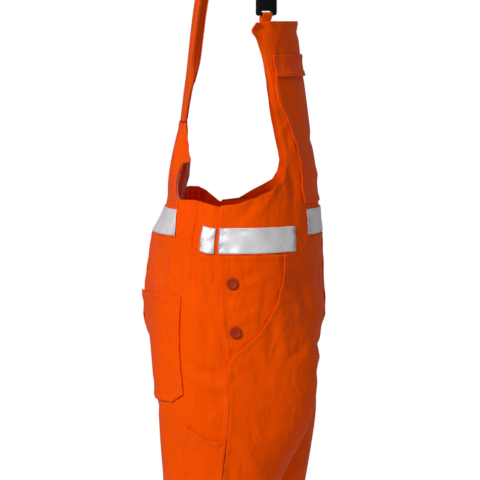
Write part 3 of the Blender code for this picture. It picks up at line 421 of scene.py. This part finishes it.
for side, y in (("right", 35), ("left", -35)):
    # knees and hems, below the picture: soft breaks across the leg, and one long rear fold
    leg_creases += [
        (side, 14, -5.1, (y + 70, -1130), (y + 20, -1150), (y - 30, -1142)),
        (side, 14, -5.7, (y + 76, -1190), (y + 10, -1212), (y - 40, -1196)),
        (side, 12, -4.7, (y + 70, -1250), (y + 24, -1262), (y - 20, -1276)),
        (side, 16, -4.4, (y - 60, -1330), (y - 10, -1360), (y + 50, -1372)),
        (side, 14, -4.4, (y + 70, -1440), (y + 10, -1462), (y - 40, -1456)),
        (side, 12, -4, (y - 60, -1500), (y, -1516), (y + 50, -1508)),
    ]
for x in (-106, 106):
    leg_creases += [
        ("back", 14, -6.1, (x - 60, -1165), (x, -1180), (x + 60, -1160)),
        ("back", 12, -5.1, (x - 55, -1215), (x + 10, -1224), (x + 60, -1240)),
        ("back", 14, -5.1, (x - 60, -1420), (x, -1436), (x + 55, -1424)),
        ("front", 14, -5.1, (x - 60, -1215), (x, -1196), (x + 60, -1214)),
        ("front", 14, -5.1, (x - 55, -1480), (x + 10, -1500), (x + 60, -1486)),
        ("front", 12, -4.4, (x - 60, -1530), (x, -1536), (x + 55, -1524)),
    ]


def put_on(piece, node, material, slot):
    """Hand a finished piece to the frame in place of its CAD node."""
    piece.data.materials.append(material)
    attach(piece, "root")
    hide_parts(node)
    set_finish(piece, slot)


def dress(piece, node, material, slot):
    """Hand over a finished cloth piece."""
    put_on(piece, node, material, slot)


def dress_in_twill(piece, node):
    """Hand over a piece of the trousers' own cloth."""
    dress(piece, node, orange_twill, "orange_twill")


def cloth(node, name, creases, material, slot, levels=3, hem=0.0011):
    """A panel made from its CAD node, with edges that are thicker by its hem."""
    piece = copy_of(node, name, levels)
    crumple(piece, creases, hem)
    lay_flat(piece)
    dress(piece, node, material, slot)
    return piece


def twill_cloth(node, name, creases):
    """A panel of the trousers' own cloth."""
    return cloth(node, name, creases, orange_twill, "orange_twill")


words = {"right": -1, "left": 1}
front_legs, back_legs = {}, {}
for word in words:
    front_legs[word] = twill_cloth(f"front_leg_{word}", f"front_leg_cloth_{word}", leg_creases)
for word in words:
    back_legs[word] = twill_cloth(f"back_leg_{word}", f"back_leg_cloth_{word}", leg_creases)


def close_middle(piece, side):
    """Bring a leg panel's edge to the centre seam, waist to fork; the left one laps over the right."""
    points = points_of(piece)
    edge = np.concatenate(outer_loops(piece))
    edge = edge[(np.abs(edge[:, 0]) < 0.008) & (edge[:, 2] > -0.81)]
    edge = edge[np.argsort(edge[:, 2])]
    near = (1 - ease(np.abs(points[:, 0]), 0.002, 0.02)) * ease(points[:, 2], -0.825, -0.80)
    lap = 0.0045 if side > 0 else 0.0
    gap = np.interp(points[:, 2], edge[:, 2], np.abs(edge[:, 0]))
    points[:, 0] -= side * (gap - 0.0001 + lap) * near
    points += outward(points) * (lap * 0.32 * near)[:, None]
    set_points(piece, points)


for word, side in words.items():
    close_middle(front_legs[word], side)
    close_middle(back_legs[word], side)


# The hip facings: plain twill pieces that show in the mouths of the hip pockets and carry the
# buttons. Each is sewn in under the front panel and reaches to the edge of the side opening.

for word in words:
    twill_cloth(f"hip_facing_{word}", f"hip_facing_cloth_{word}", leg_creases)


# The bib front: one panel that rises to the chest and runs back round both sides above the waist
# seam. Its armhole edges are turned in and stitched, and its top corners curl out.

bib_creases = [
    ("right", 9, 5, (-68, -190), (-77, -240), (-86, -280), (-104, -330), (-119, -385), (-134, -450)),
    ("right", 7, -3.6, (-54, -190), (-60, -240), (-68, -290), (-84, -345), (-100, -400), (-116, -450)),
    ("right", 5, 2.6, (-46, -250), (-52, -330), (-64, -400)),
    ("right", 6, -3.4, (-66, -300), (-78, -380), (-88, -440)),
    ("right", 8, -3, (-40, -452), (-22, -480), (0, -494)),
    ("right", 8, 2.6, (-78, -420), (-60, -466), (-30, -488)),
    ("right", 8, -3, (-104, -390), (-112, -440), (-110, -490)),
    ("right", 6, -2, (-46, -160), (-54, -200), (-56, -250)),
    ("right", 8, -2.6, (6, -500), (-10, -512), (-34, -514)),
    ("left", 9, 4.6, (-70, -190), (-78, -240), (-88, -284), (-106, -336), (-120, -390), (-134, -450)),
    ("left", 7, -3.4, (-56, -196), (-62, -244), (-70, -294), (-86, -350), (-102, -404), (-117, -452)),
    ("left", 5, 2.4, (-48, -262), (-54, -336), (-64, -408)),
    ("left", 6, -3.2, (-66, -310), (-80, -388), (-86, -446)),
    ("left", 8, -2.8, (-36, -468), (-20, -490), (-2, -500)),
    ("left", 9, -2.8, (-106, -398), (-114, -444), (-112, -486)),
    ("front", 8, -2.6, (-70, -132), (-20, -150), (30, -144)),
    ("front", 8, -2.4, (80, -138), (62, -160), (36, -180)),
    ("front", 10, -2.6, (-50, -330), (-10, -352), (40, -346)),
    ("front", 10, 2.4, (-60, -400), (-10, -418), (50, -410)),
]
bib = twill_cloth("front_bib", "front_bib_cloth", bib_creases)

# the top corners have rolled over: the right one shows as a small knob beside the loop
places = points_of(bib)
for side in (-1, 1):
    near = side * places[:, 0] > 0.07
    edge_y = places[near & (np.abs(places[:, 2] + 0.143) < 0.012), 1].max()
    roll = np.exp(-(((places[:, 1] - edge_y) / 0.010) ** 2) - ((places[:, 2] + 0.143) / 0.0105) ** 2) * near
    places[:, 1] += 0.0075 * roll
    places[:, 0] += side * 0.0050 * roll
set_points(bib, places)


# The back panel: a low shaped piece from the waist seam to the straps, of the same twill, and the
# elasticated sides of the back waist, drawn up in upright puckers by rows of elastic thread.

back_creases = [
    ("right", 3.6, -7.8, (97.5, -308), (101, -345), (108, -385), (116, -430)),
    ("right", 5, 4.2, (92, -316), (94.5, -345), (101, -396)),
    ("right", 6, 3.4, (104, -330), (112, -380), (122, -430)),
    ("right", 6, -3.6, (116, -380), (124, -420), (128, -460)),
    ("right", 5, -3, (90, -350), (94, -372), (98, -392)),
    ("left", 6, -3.6, (92, -320), (102, -360), (108, -400)),
    ("left", 6, 3, (106, -334), (114, -384), (122, -430)),
    ("back", 8, -3.4, (-55, -330), (-70, -390), (-80, -440)),
    ("back", 8, -3.4, (55, -335), (68, -392), (78, -444)),
    ("back", 8, -2.8, (-30, -330), (-26, -380), (-34, -420)),
    ("back", 8, -2.8, (34, -332), (28, -384), (30, -424)),
]
back_panel = twill_cloth("back_bib", "back_bib_cloth", back_creases)


def pucker(piece, side):
    """Fine upright gathers between the rows of elastic thread, uneven from one to the next."""
    points = points_of(piece)
    x, y, z = points.T
    out = outward(points)
    along = np.arctan2(y, np.abs(x)) * 0.165
    fade = ease(along, 0.048, 0.062) * ease(-z, 0.452, 0.466)
    deep = 1.2 if side < 0 else 2.2
    wave = np.sin(along / 0.0072 * 2 * math.pi + 1.3 * np.sin(z * 60 + side)) * 0.0009 * deep
    wave += np.sin(along / 0.0171 * 2 * math.pi + side) * 0.0007 * deep
    rows = 0.6 + 0.4 * np.cos(z / 0.0125 * 2 * math.pi)
    set_points(piece, points + out * (wave * rows * fade)[:, None])


waists = {}
for word, side in words.items():
    waists[word] = copy_of(f"waist_gather_{word}", f"waist_gather_cloth_{word}", 3)
    pucker(waists[word], side)
    lay_flat(waists[word])
    dress_in_twill(waists[word], f"waist_gather_{word}")


def close_seam(lower, uppers, reach=0.045):
    """Bring a leg's top edge up to the panels it is sewn to, all along the back waist seam."""
    points = points_of(lower)
    side = np.sign(np.median(points[:, 0]))
    above = np.concatenate([loop for piece in uppers for loop in outer_loops(piece)])
    below = np.concatenate(outer_loops(lower))
    edges = []
    for loop in (above, below):
        run = np.roll(loop, -1, axis=0) - np.roll(loop, 1, axis=0)
        level = np.abs(run[:, 2]) < 0.75 * np.linalg.norm(run[:, :2], axis=1)
        kept = loop[level & (loop[:, 2] < -0.525) & (loop[:, 2] > -0.575) & (side * loop[:, 0] > 0.0)]
        angle = np.arctan2(kept[:, 1], side * kept[:, 0])
        order = np.argsort(angle)
        edges.append((angle[order], kept[order]))
    (upper_angle, upper), (lower_angle, own) = edges
    gap = np.stack([np.interp(lower_angle, upper_angle, upper[:, k]) - own[:, k] for k in range(3)], axis=1)
    gap[:, 2] -= 0.0003
    gap[np.linalg.norm(gap, axis=1) > 0.012] = 0.0
    angle = np.arctan2(points[:, 1], side * points[:, 0])
    shift = np.stack([np.interp(angle, lower_angle, gap[:, k]) for k in range(3)], axis=1)
    depth = np.interp(angle, lower_angle, own[:, 2]) - points[:, 2]
    set_points(lower, points + shift * (1 - ease(depth, 0.001, reach))[:, None])


for word in words:
    close_seam(back_legs[word], [back_panel, waists[word]])


# The binding inside the edges of the back panel: a grey woven band, 12 mm wide, that finishes the
# raw edges and shows from the front.


def woven(name, colour, dark, thread_mm, depth_mm):
    """Plain weave: threads over and under each other in two directions."""
    material, tree, shader = new_material(name, Roughness=0.8, Specular_IOR_Level=0.2)
    place = add_node(tree, "ShaderNodeUVMap", {"uv_map": "cloth"})
    waves = [add_node(tree, "ShaderNodeTexWave",
                      {"Scale": bands(thread_mm), "bands_direction": axis, "Distortion": 0.3},
                      [("Vector", place, "UV")]) for axis in ("X", "Y")]
    cross = times(tree, *waves)
    ramp = two_toned(tree, cross, "Value", dark, colour)
    tree.links.new(ramp.outputs["Color"], shader.inputs["Base Color"])
    raise_by(tree, shader, cross, "Value", 0.4, depth_mm / 1000)
    return material


grey_binding = woven("grey_woven_binding", "#f0d8d2", "#b78a82", thread_mm=1.0, depth_mm=0.15)
for word in words:
    cloth(f"back_edge_band_{word}", f"back_edge_binding_{word}", back_creases, grey_binding, "edge_band",
          levels=2, hem=0.0)


# The patch pockets: the wide bib pocket under its flap, the back pocket with its cut-off lower
# corners, and the long rule pocket behind the side seam. Their mouths stand a little open.

twill_cloth("bib_pocket", "bib_pocket_cloth", bib_creases)
flap = twill_cloth("bib_pocket_flap", "bib_pocket_flap_cloth", bib_creases)

# the flap's free edge has curled away from the pocket, most at its two ends
places = points_of(flap)
hang = ease(-places[:, 2], 0.205, 0.238) * (0.35 + 0.65 * np.clip(np.abs(places[:, 0]) / 0.12, 0, 1) ** 2)
set_points(flap, places + outward(places) * (0.0048 * hang)[:, None])
pocket_creases = leg_creases + [
    ("right", 9, -1.4, (160, -650), (130, -655), (100, -650)),
    ("right", 10, 1.2, (150, -700), (125, -740), (110, -790)),
]
back_pocket = twill_cloth("back_pocket_right", "back_pocket_cloth", pocket_creases)

# the mouth's rear end stands off the seat
places = points_of(back_pocket)
stand = np.exp(-(((places[:, 1] - places[:, 1].max()) / 0.022) ** 2) - ((places[:, 2] + 0.640) / 0.020) ** 2)
set_points(back_pocket, places + outward(places) * (0.0050 * stand)[:, None])
twill_cloth("rule_pocket_right", "rule_pocket_cloth", leg_creases)


# The reflective tape: silver cloth covered with tiny glass beads, sewn flat round the waist in
# separate lengths. It is matt grey in plain light, with a satin shine where it faces the light.


def beaded_silver(name):
    """Glass-bead tape: a pale grey with a fine grain of beads and a satin, slightly metallic shine."""
    material, tree, shader = new_material(name, Metallic=0.35, Roughness=0.42)
    place = add_node(tree, "ShaderNodeTexCoord")
    # grains 0.8 mm across: the real beads, near 0.06 mm, are too fine to show
    beads = add_node(tree, "ShaderNodeTexVoronoi", {"Scale": 1250.0}, [("Vector", place, "Object")])
    cloud = speckle(tree, place, 40.0, 5.0)
    both = add_node(tree, "ShaderNodeMath", {"operation": "MULTIPLY_ADD"},
                    [(0, beads, "Distance"), (2, cloud, "Fac")])
    both.inputs[1].default_value = 0.35
    ramp = two_toned(tree, both, "Value", "#dcd8dc", "#f6f4f6")
    ramp.color_ramp.elements[0].position = 0.3
    ramp.color_ramp.elements[1].position = 0.9
    # toward the ends of each length, grey patches are mixed in: painted shade where the tape turns away from
    # the light
    ends = add_node(tree, "ShaderNodeUVMap", {"uv_map": "worn"})
    apart = add_node(tree, "ShaderNodeSeparateXYZ", (), [("Vector", ends, "UV")])
    patch = speckle(tree, place, 210.0, 3.0)
    painted_end_shade = add_node(tree, "ShaderNodeMath", {"operation": "MULTIPLY"}, [(0, patch, "Fac"), (1, apart, "X")])
    share = add_node(tree, "ShaderNodeMapRange", {"From Min": 0.26, "From Max": 0.50, "To Max": 0.75},
                     [("Value", painted_end_shade, "Value")])
    tinted = add_node(tree, "ShaderNodeMix", {"data_type": "RGBA"}, [("Factor", share, "Result")])
    tinted.inputs["B"].default_value = linear("#a8a0b0")
    tree.links.new(ramp.outputs["Color"], tinted.inputs["A"])
    tree.links.new(tinted.outputs["Result"], shader.inputs["Base Color"])
    raise_by(tree, shader, beads, "Distance", 0.2, 0.0001)
    return material


silver = beaded_silver("glass_bead_reflective_tape")
tape_lengths = {"tape_front": 0.215, "tape_back": 0.30, "tape_side_right": 0.17, "tape_side_left": 0.17,
                "tape_hip_right": 0.033, "tape_hip_left": 0.033}
for node, length in tape_lengths.items():
    tape = cloth(node, node.replace("tape", "reflective_tape"), bib_creases, silver, "reflective_tape",
                 hem=0.0)
    # it lies over the thick seams it crosses
    points = points_of(tape)
    points += outward(points) * 0.0013
    set_points(tape, points)
    # how near each place is to the ends of its length, for the painted shade there
    x, y, z = points_of(tape).T
    around = x / 0.2 if node in ("tape_front", "tape_back") else np.arctan2(y, x)
    around = np.where(around < -2, around + 2 * math.pi, around) * 0.19
    nearness = np.clip(1 - np.minimum(around - around.min(), around.max() - around) / 0.028, 0, 1)
    write_uv(tape, "worn", nearness, nearness)


# The shoulder straps: flat elastic webbing, knitted in lengthwise ribs, from the back panel over
# the shoulders to the buckles, and the twill loops that hold the buckles on the bib.

# the strap's centre line and the turn of its width, from the back panel to the buckle
strap_route = np.array((
    (-0.0560, 0.1000, -0.3152, 14), (-0.0580, 0.0940, -0.2700, 18), (-0.0640, 0.0850, -0.2200, 25),
    (-0.0700, 0.0775, -0.1700, 32), (-0.0760, 0.0705, -0.1200, 36), (-0.0815, 0.0630, -0.0700, 32),
    (-0.0860, 0.0480, -0.0280, 18), (-0.0890, 0.0250, -0.0050, 4), (-0.0910, 0.0000, 0.0012, -4),
    (-0.0960, -0.0255, -0.0060, -20), (-0.1045, -0.0440, -0.0220, -38), (-0.1120, -0.0555, -0.0410, -52),
    (-0.1163, -0.0603, -0.0575, -56),
))


def lay_strap_flat(piece, side):
    """A UV map in metres: across the strap, and along it."""
    ranks = np.linspace(0, len(strap_route) - 1, 240)
    route = np.stack([np.interp(ranks, range(len(strap_route)), strap_route[:, k]) for k in range(4)], axis=1)
    along = np.concatenate([[0], np.cumsum(np.linalg.norm(np.diff(route[:, :3], axis=0), axis=1))])
    turn = np.radians(route[:, 3])
    width = np.stack([np.cos(turn), np.sin(turn), 0 * turn], axis=1)
    centre = route[:, :3] * (-side, 1, 1)
    width *= (-side, 1, 1)
    points = points_of(piece)
    near = np.argmin(np.linalg.norm(points[:, None] - centre[None], axis=2), axis=1)
    across = np.einsum("ij,ij->i", points - centre[near], width[near])
    write_uv(piece, "cloth", across, along[near])


def ribbed(name, colour, dark, rib_mm):
    """Knitted elastic: lengthwise ribs crossed by fine rows of stitches."""
    material, tree, shader = new_material(name, Roughness=0.7, Specular_IOR_Level=0.12)
    place = add_node(tree, "ShaderNodeUVMap", {"uv_map": "cloth"})
    rib = add_node(tree, "ShaderNodeTexWave", {"Scale": bands(rib_mm)}, [("Vector", place, "UV")])
    row = add_node(tree, "ShaderNodeTexWave",
                   {"Scale": bands(1.1), "bands_direction": "Y", "Distortion": 0.4},
                   [("Vector", place, "UV")])
    both = times(tree, rib, row)
    ramp = two_toned(tree, both, "Value", dark, colour)
    tree.links.new(ramp.outputs["Color"], shader.inputs["Base Color"])
    raise_by(tree, shader, both, "Value", 0.5, 0.0004)
    return material


webbing = ribbed("orange_elastic_webbing", "#ff5c0a", "#d84600", rib_mm=3.0)


def fold_over(points, beyond, along, out, angle):
    """Turn the cloth that lies beyond a fold line inward by an angle; along and out are level directions."""
    turn = angle * ease(beyond, 0.0, 0.004)
    past = np.maximum(beyond, 0.0)
    return points - (past * (1 - np.cos(turn)))[:, None] * along - (past * np.sin(turn))[:, None] * out


def fold_strap(piece, side):
    """Down the wearer's back the strap's outer edge has folded forward, square to the rest."""
    points = points_of(piece)
    layer = piece.data.uv_layers["cloth"].data
    across = np.zeros(len(points))
    for corner in piece.data.loops:
        across[corner.vertex_index] = layer[corner.index].uv[0]
    rising = strap_route[1:9]
    turn = np.radians(np.interp(points[:, 2], rising[:, 2], rising[:, 3]))
    along = np.stack([side * np.cos(turn), -np.sin(turn), 0 * turn], axis=1)
    out = np.stack([side * np.sin(turn), np.cos(turn), 0 * turn], axis=1)
    strength = ease(-points[:, 2], 0.03, 0.09) * (1 - ease(-points[:, 2], 0.19, 0.27)) * (points[:, 1] > 0.02)
    crest = -0.019 + 0.016 * strength
    set_points(piece, fold_over(points, crest - across, along, out, math.radians(104)))


for word, side in words.items():
    strap = copy_of(f"strap_{word}", f"strap_webbing_{word}", 2)
    lay_strap_flat(strap, side)
    fold_strap(strap, side)
    dress(strap, f"strap_{word}", webbing, "strap_webbing")
    loop = copy_of(f"strap_tab_{word}", f"strap_loop_{word}", 2)
    lay_flat(loop)
    dress_in_twill(loop, f"strap_tab_{word}")


# The buttons: two on each side opening, 22 mm across, moulded in rust plastic with a raised rim round
# a dished middle. Each is shut, so its shank is out of sight behind the twill.


def moulded(name, colour, roughness, grain_mm):
    """Injection-moulded plastic with a spark-eroded grain."""
    material, tree, shader = new_material(name, Base_Color=linear(colour), Roughness=roughness, IOR=1.48,
                                          Specular_IOR_Level=0.2)
    place = add_node(tree, "ShaderNodeTexCoord")
    grain = speckle(tree, place, 1000 / grain_mm, 2.0)
    raise_by(tree, shader, grain, "Fac", 0.15, 0.0001)
    return material


def soften_edges(piece, width, angle):
    """Bevel the edges that are sharper than an angle."""
    soften = piece.modifiers.new("soften", "BEVEL")
    soften.width = width
    soften.segments = 2
    soften.limit_method = "ANGLE"
    soften.angle_limit = math.radians(angle)
    bpy.ops.object.modifier_apply(modifier="soften")


rust_plastic = moulded("rust_moulded_plastic", "#a32a02", 0.5, 0.6)
for node in [name for name in frame["nodes"] if name.startswith("button")]:
    cad = points_of(frame["nodes"][node])
    middle = (cad.min(axis=0) + cad.max(axis=0)) / 2
    axis = Vector(np.linalg.svd(cad - cad.mean(axis=0), full_matrices=False)[2][2])
    axis *= math.copysign(1.0, axis.x * middle[0])
    bpy.ops.object.select_all(action="DESELECT")
    bpy.ops.mesh.primitive_cylinder_add(vertices=48, radius=0.011, depth=0.0026)
    button = bpy.context.object
    button.name = node.replace("button", "moulded_button")
    bpy.ops.object.mode_set(mode="EDIT")
    # each step narrows the top face, then lifts or lowers it: the rim, its crest and the dish
    for inset, rise in ((0.0010, 0.0005), (0.0016, 0.0003), (0.0014, -0.0009), (0.0025, -0.0002)):
        bpy.ops.mesh.select_all(action="DESELECT")
        shape = bmesh.from_edit_mesh(button.data)
        caps = [face for face in shape.faces if len(face.verts) == 48 and face.calc_center_median().z > 0]
        caps[0].select = True
        bmesh.update_edit_mesh(button.data)
        bpy.ops.mesh.inset(thickness=inset, depth=0)
        bpy.ops.transform.translate(value=(0, 0, rise))
    bpy.ops.object.mode_set(mode="OBJECT")
    soften_edges(button, 0.00025, 40)
    button.rotation_euler = axis.to_track_quat("Z", "Y").to_euler()
    button.location = middle
    bpy.ops.object.transform_apply(location=True, rotation=True, scale=True)
    bpy.ops.object.shade_smooth_by_angle(angle=math.radians(35))
    put_on(button, node, rust_plastic, "button_plastic")


# The side-release buckles, moulded in black acetal: a socket held by the loop on the bib, and the
# plug that the strap is sewn to, pushed home.

black_acetal = moulded("black_moulded_acetal", "#040404", 0.55, 0.6)
for node in [name for name in frame["nodes"] if name.startswith("buckle")]:
    half = bare_copy(node, node.replace("buckle", "moulded_buckle"))
    bpy.ops.mesh.dissolve_limited(angle_limit=math.radians(2))
    bpy.ops.object.mode_set(mode="OBJECT")
    soften_edges(half, 0.0005, 35)
    bpy.ops.object.shade_smooth_by_angle(angle=math.radians(35))
    put_on(half, node, black_acetal, "black_plastic")


# The topstitching: spun polyester thread, six or seven stitches to 20 mm. One stitch is modelled
# and copied along each row; every copy lies on the cloth beside an edge or along an elastic row.

everything = bmesh.new()
soft_slots = ("orange_twill", "reflective_tape", "strap_webbing", "edge_band")
for piece in bpy.context.scene.objects:
    if piece.type == "MESH" and piece.get("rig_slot") in soft_slots:
        everything.from_mesh(piece.data)
cover = BVHTree.FromBMesh(everything)
everything.free()


def spaced(path, pitch):
    """Points at even steps along a path, and the direction there."""
    steps = np.linalg.norm(np.diff(path, axis=0), axis=1)
    along = np.concatenate([[0], np.cumsum(steps)])
    count = max(int(along[-1] / pitch), 1)
    stops = (np.arange(count) + 0.5) * along[-1] / count
    points = np.stack([np.interp(stops, along, path[:, k]) for k in range(3)], axis=1)
    ahead = np.stack([np.interp(stops + pitch / 2, along, path[:, k]) for k in range(3)], axis=1)
    behind = np.stack([np.interp(stops - pitch / 2, along, path[:, k]) for k in range(3)], axis=1)
    run = ahead - behind
    return points, run / (np.linalg.norm(run, axis=1)[:, None] + 1e-12)


def beside_edge(piece, inset, keep, pitch=0.0031):
    """Places for a row of stitches this far inside a cloth's outer edge, where keep(points) holds."""
    shape = bmesh.new()
    shape.from_mesh(piece.data)
    tree = BVHTree.FromBMesh(shape)
    shape.free()
    places = []
    for loop in outer_loops(piece):
        points, run = spaced(loop, pitch)
        wanted = keep(points)
        for point, ahead in zip(points[wanted], run[wanted]):
            out = Vector(outward(point[None])[0])
            ahead = Vector(ahead)
            inward = out.cross(ahead).normalized()
            seen = Vector(point) + inward * inset + out * 0.006
            spot, normal, _, _ = tree.ray_cast(seen, -out, 0.02)
            if spot is None or np.min(np.linalg.norm(loop - np.array(spot), axis=1)) < inset * 0.9 - 0.0002:
                continue
            if cover.ray_cast(spot + normal * 0.0008, normal, 0.02)[0] is None:
                places.append((spot, ahead, normal))
    return places


def row_along(path, pitch=0.0031, reach=0.02):
    """Places for a row of stitches along a path that is drawn just outside the cloth."""
    places = []
    for point, ahead in zip(*spaced(np.array(path, float), pitch)):
        out = Vector(outward(point[None])[0])
        spot, normal, _, _ = cover.ray_cast(Vector(point) + out * reach, -out, 2 * reach)
        if spot is not None:
            places.append((spot, Vector(ahead), normal))
    return places


def stitches(name, places, material, slot, length=0.0024, thick=0.0006):
    """Copy one low stitch, a five-sided bead pulled long, to every place."""
    bpy.ops.object.select_all(action="DESELECT")
    bpy.ops.mesh.primitive_uv_sphere_add(segments=5, ring_count=3, radius=0.5)
    bead = bpy.context.object
    shape = points_of(bead)[:, [2, 0, 1]] * (length, thick, thick)
    faces = [list(face.vertices) for face in bead.data.polygons]
    bpy.data.objects.remove(bead)
    points, polygons = [], []
    for spot, ahead, normal in places:
        ahead = (ahead - normal * ahead.dot(normal)).normalized()
        across = normal.cross(ahead)
        turn = np.array([ahead, across, normal])
        first = len(points) * len(shape)
        points.append(shape @ turn + np.array(spot + normal * thick * 0.18))
        polygons += [[first + k for k in face] for face in faces]
    mesh = bpy.data.meshes.new(name)
    mesh.from_pydata(np.concatenate(points).tolist(), [], polygons)
    piece = bpy.data.objects.new(name, mesh)
    bpy.context.scene.collection.objects.link(piece)
    only(piece)
    bpy.ops.object.shade_smooth()
    mesh.materials.append(material)
    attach(piece, "root")
    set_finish(piece, slot)


def thread(name, colour):
    """Spun thread: matt, with the twist of its plies as a fine slanting ripple."""
    material, tree, shader = new_material(name, Base_Color=linear(colour), Roughness=0.7)
    place = add_node(tree, "ShaderNodeTexCoord")
    ply = add_node(tree, "ShaderNodeTexWave", {"Scale": bands(0.6), "bands_direction": "DIAGONAL"},
                   [("Vector", place, "Object")])
    raise_by(tree, shader, ply, "Fac", 0.3, 0.0001)
    return material


orange_thread = thread("orange_polyester_thread", "#ff6a1c")
grey_thread = thread("pale_grey_polyester_thread", "#c9c2c6")


def always(points):
    """Stitch the whole edge."""
    return points[:, 2] < 1


def not_under_tape(points):
    """Stitch only below the tape round the waist."""
    return points[:, 2] < -0.563


def by_the_pockets(points):
    """Stitch between the tape and the end of the hip pockets."""
    return not_under_tape(points) & (points[:, 2] > -0.76)


def edge_rows(name, insets, keep=always):
    """Rows of stitches at these distances inside the edge of a named piece."""
    return [place for inset in insets for place in beside_edge(bpy.data.objects[name], inset, keep)]


rows = []
for word in words:
    # the felled side seam and inseam are stitched on the back panel, the pocket mouth on the front
    rows += edge_rows(f"back_leg_cloth_{word}", (0.0016, 0.0080), not_under_tape)
    rows += edge_rows(f"front_leg_cloth_{word}", (0.0022,), not_under_tape)
    rows += edge_rows(f"front_leg_cloth_{word}", (0.0085,), by_the_pockets)
    rows += edge_rows(f"hip_facing_cloth_{word}", (0.0022,))
stitches("leg_topstitching", rows, orange_thread, "orange_twill")

rows = edge_rows("front_bib_cloth", (0.0018, 0.0080)) + edge_rows("back_bib_cloth", (0.0018, 0.0080))
rows += edge_rows("bib_pocket_cloth", (0.0018, 0.0075)) + edge_rows("bib_pocket_flap_cloth", (0.0018, 0.0075))
rows += edge_rows("strap_loop_right", (0.0020,)) + edge_rows("strap_loop_left", (0.0020,))
stitches("bib_topstitching", rows, orange_thread, "orange_twill")

rows = edge_rows("back_pocket_cloth", (0.0018, 0.0080)) + edge_rows("rule_pocket_cloth", (0.0018, 0.0080))
stitches("pocket_topstitching", rows, orange_thread, "orange_twill")

rows = []
for word, side in words.items():
    # six rows of elastic thread through the gathered waist, from above the tape to its lower edge
    swing = np.radians(np.linspace(18, 49, 60))
    for height in (-0.474, -0.487, -0.500, -0.513, -0.526, -0.539):
        route = np.stack([side * 0.185 * np.cos(swing), 0.16 * np.sin(swing), height + 0 * swing], axis=1)
        rows += row_along(route, reach=0.05)
    # the strap's end is boxed and crossed on the back panel
    foot = np.array([(0.042, 0.108, -0.3120), (0.070, 0.098, -0.3120), (0.070, 0.104, -0.2920),
                     (0.042, 0.108, -0.2920)]) * (side, 1, 1)
    for a, b in ((0, 1), (1, 2), (2, 3), (3, 0), (0, 2), (1, 3)):
        rows += row_along([foot[a], foot[b]], reach=0.03)
    # buttonholes, worked across the side opening behind each button
    for node in (f"button_upper_{word}", f"button_lower_{word}"):
        middle = points_of(frame["nodes"][node]).mean(axis=0)
        for lift in (-0.0011, 0.0011):
            ends = [middle + (0, -0.0105, lift), middle + (0, -0.0175, lift)]
            rows += row_along(ends, pitch=0.0008, reach=0.03)
# bars across the ends of the pocket mouths
for y, z in ((0.162, -0.640), (0.108, -0.648), (0.094, -0.876), (0.020, -0.900)):
    rows += row_along([(-0.15, y, z), (-0.15, y, z - 0.009)], pitch=0.0007, reach=0.06)
stitches("elastic_rows_and_bars", rows, orange_thread, "orange_twill")

rows = []
for node in tape_lengths:
    rows += edge_rows(node.replace("tape", "reflective_tape"), (0.0022,))
stitches("tape_stitching", rows, grey_thread, "reflective_tape", length=0.0021, thick=0.0005)


# The studio: a pale floor, a bright even surround, one large soft light from behind the wearer's
# right shoulder, and the camera on the wearer's right side.

bpy.ops.object.select_all(action="DESELECT")
bpy.ops.mesh.primitive_circle_add(vertices=96, radius=1.6, fill_type="NGON", location=(0, 0, -1.575))
floor = bpy.context.object
floor.name = "floor"
# a plain pale matt floor
floor.data.materials.append(new_material("pale_floor", Base_Color=linear("#efefef"), Roughness=0.9)[0])

world = bpy.data.worlds.new("surround")
bpy.context.scene.world = world
world.use_nodes = True
sky = world.node_tree
shown = add_node(sky, "ShaderNodeBackground", {"Color": (1, 1, 1, 1), "Strength": 1.0})
# a little brighter overhead than round the sides
way = add_node(sky, "ShaderNodeTexCoord")
height = add_node(sky, "ShaderNodeSeparateXYZ", (), [("Vector", way, "Generated")])
glow = add_node(sky, "ShaderNodeMapRange",
                {"From Min": -0.3, "From Max": 0.7, "To Min": 0.27, "To Max": 0.35},
                [("Value", height, "Z")])
lit = add_node(sky, "ShaderNodeBackground", {"Color": (1.0, 0.99, 0.98, 1)}, [("Strength", glow, "Result")])
path = add_node(sky, "ShaderNodeLightPath")
choice = add_node(sky, "ShaderNodeMixShader", (),
                  [("Fac", path, "Is Camera Ray"), (1, lit, "Background"), (2, shown, "Background")])
sky.links.new(choice.outputs["Shader"], sky.nodes["World Output"].inputs["Surface"])

for name, place, aim, size, power in (
    ("key_light", (-2.8, 2.1, 1.2), (0, 0, -0.6), 0.6, 86.0),
    ("fill_light", (-3.3, 0.7, 1.5), (0, 0, -0.4), 0.8, 18.0),
):
    lamp = bpy.data.objects.new(name, bpy.data.lights.new(name, "AREA"))
    lamp.data.shape = "DISK"
    lamp.data.size = size
    lamp.data.energy = power
    lamp.location = place
    lamp.rotation_euler = (Vector(aim) - Vector(place)).to_track_quat("-Z", "Y").to_euler()
    bpy.context.scene.collection.objects.link(lamp)

eye = Vector((-4.48, -0.0106, -0.13))
target = Vector((0, -0.0106, -0.545))
focal_px, picture_px, sensor_mm = 2340, 480, 36.0
camera = bpy.data.objects.new("camera", bpy.data.cameras.new("camera"))
camera.data.sensor_width = sensor_mm
camera.data.lens = focal_px / picture_px * sensor_mm
camera.location = eye
camera.rotation_euler = (target - eye).to_track_quat("-Z", "Y").to_euler()
bpy.context.scene.collection.objects.link(camera)
bpy.context.scene.camera = camera
bpy.context.scene.view_settings.view_transform = "Standard"
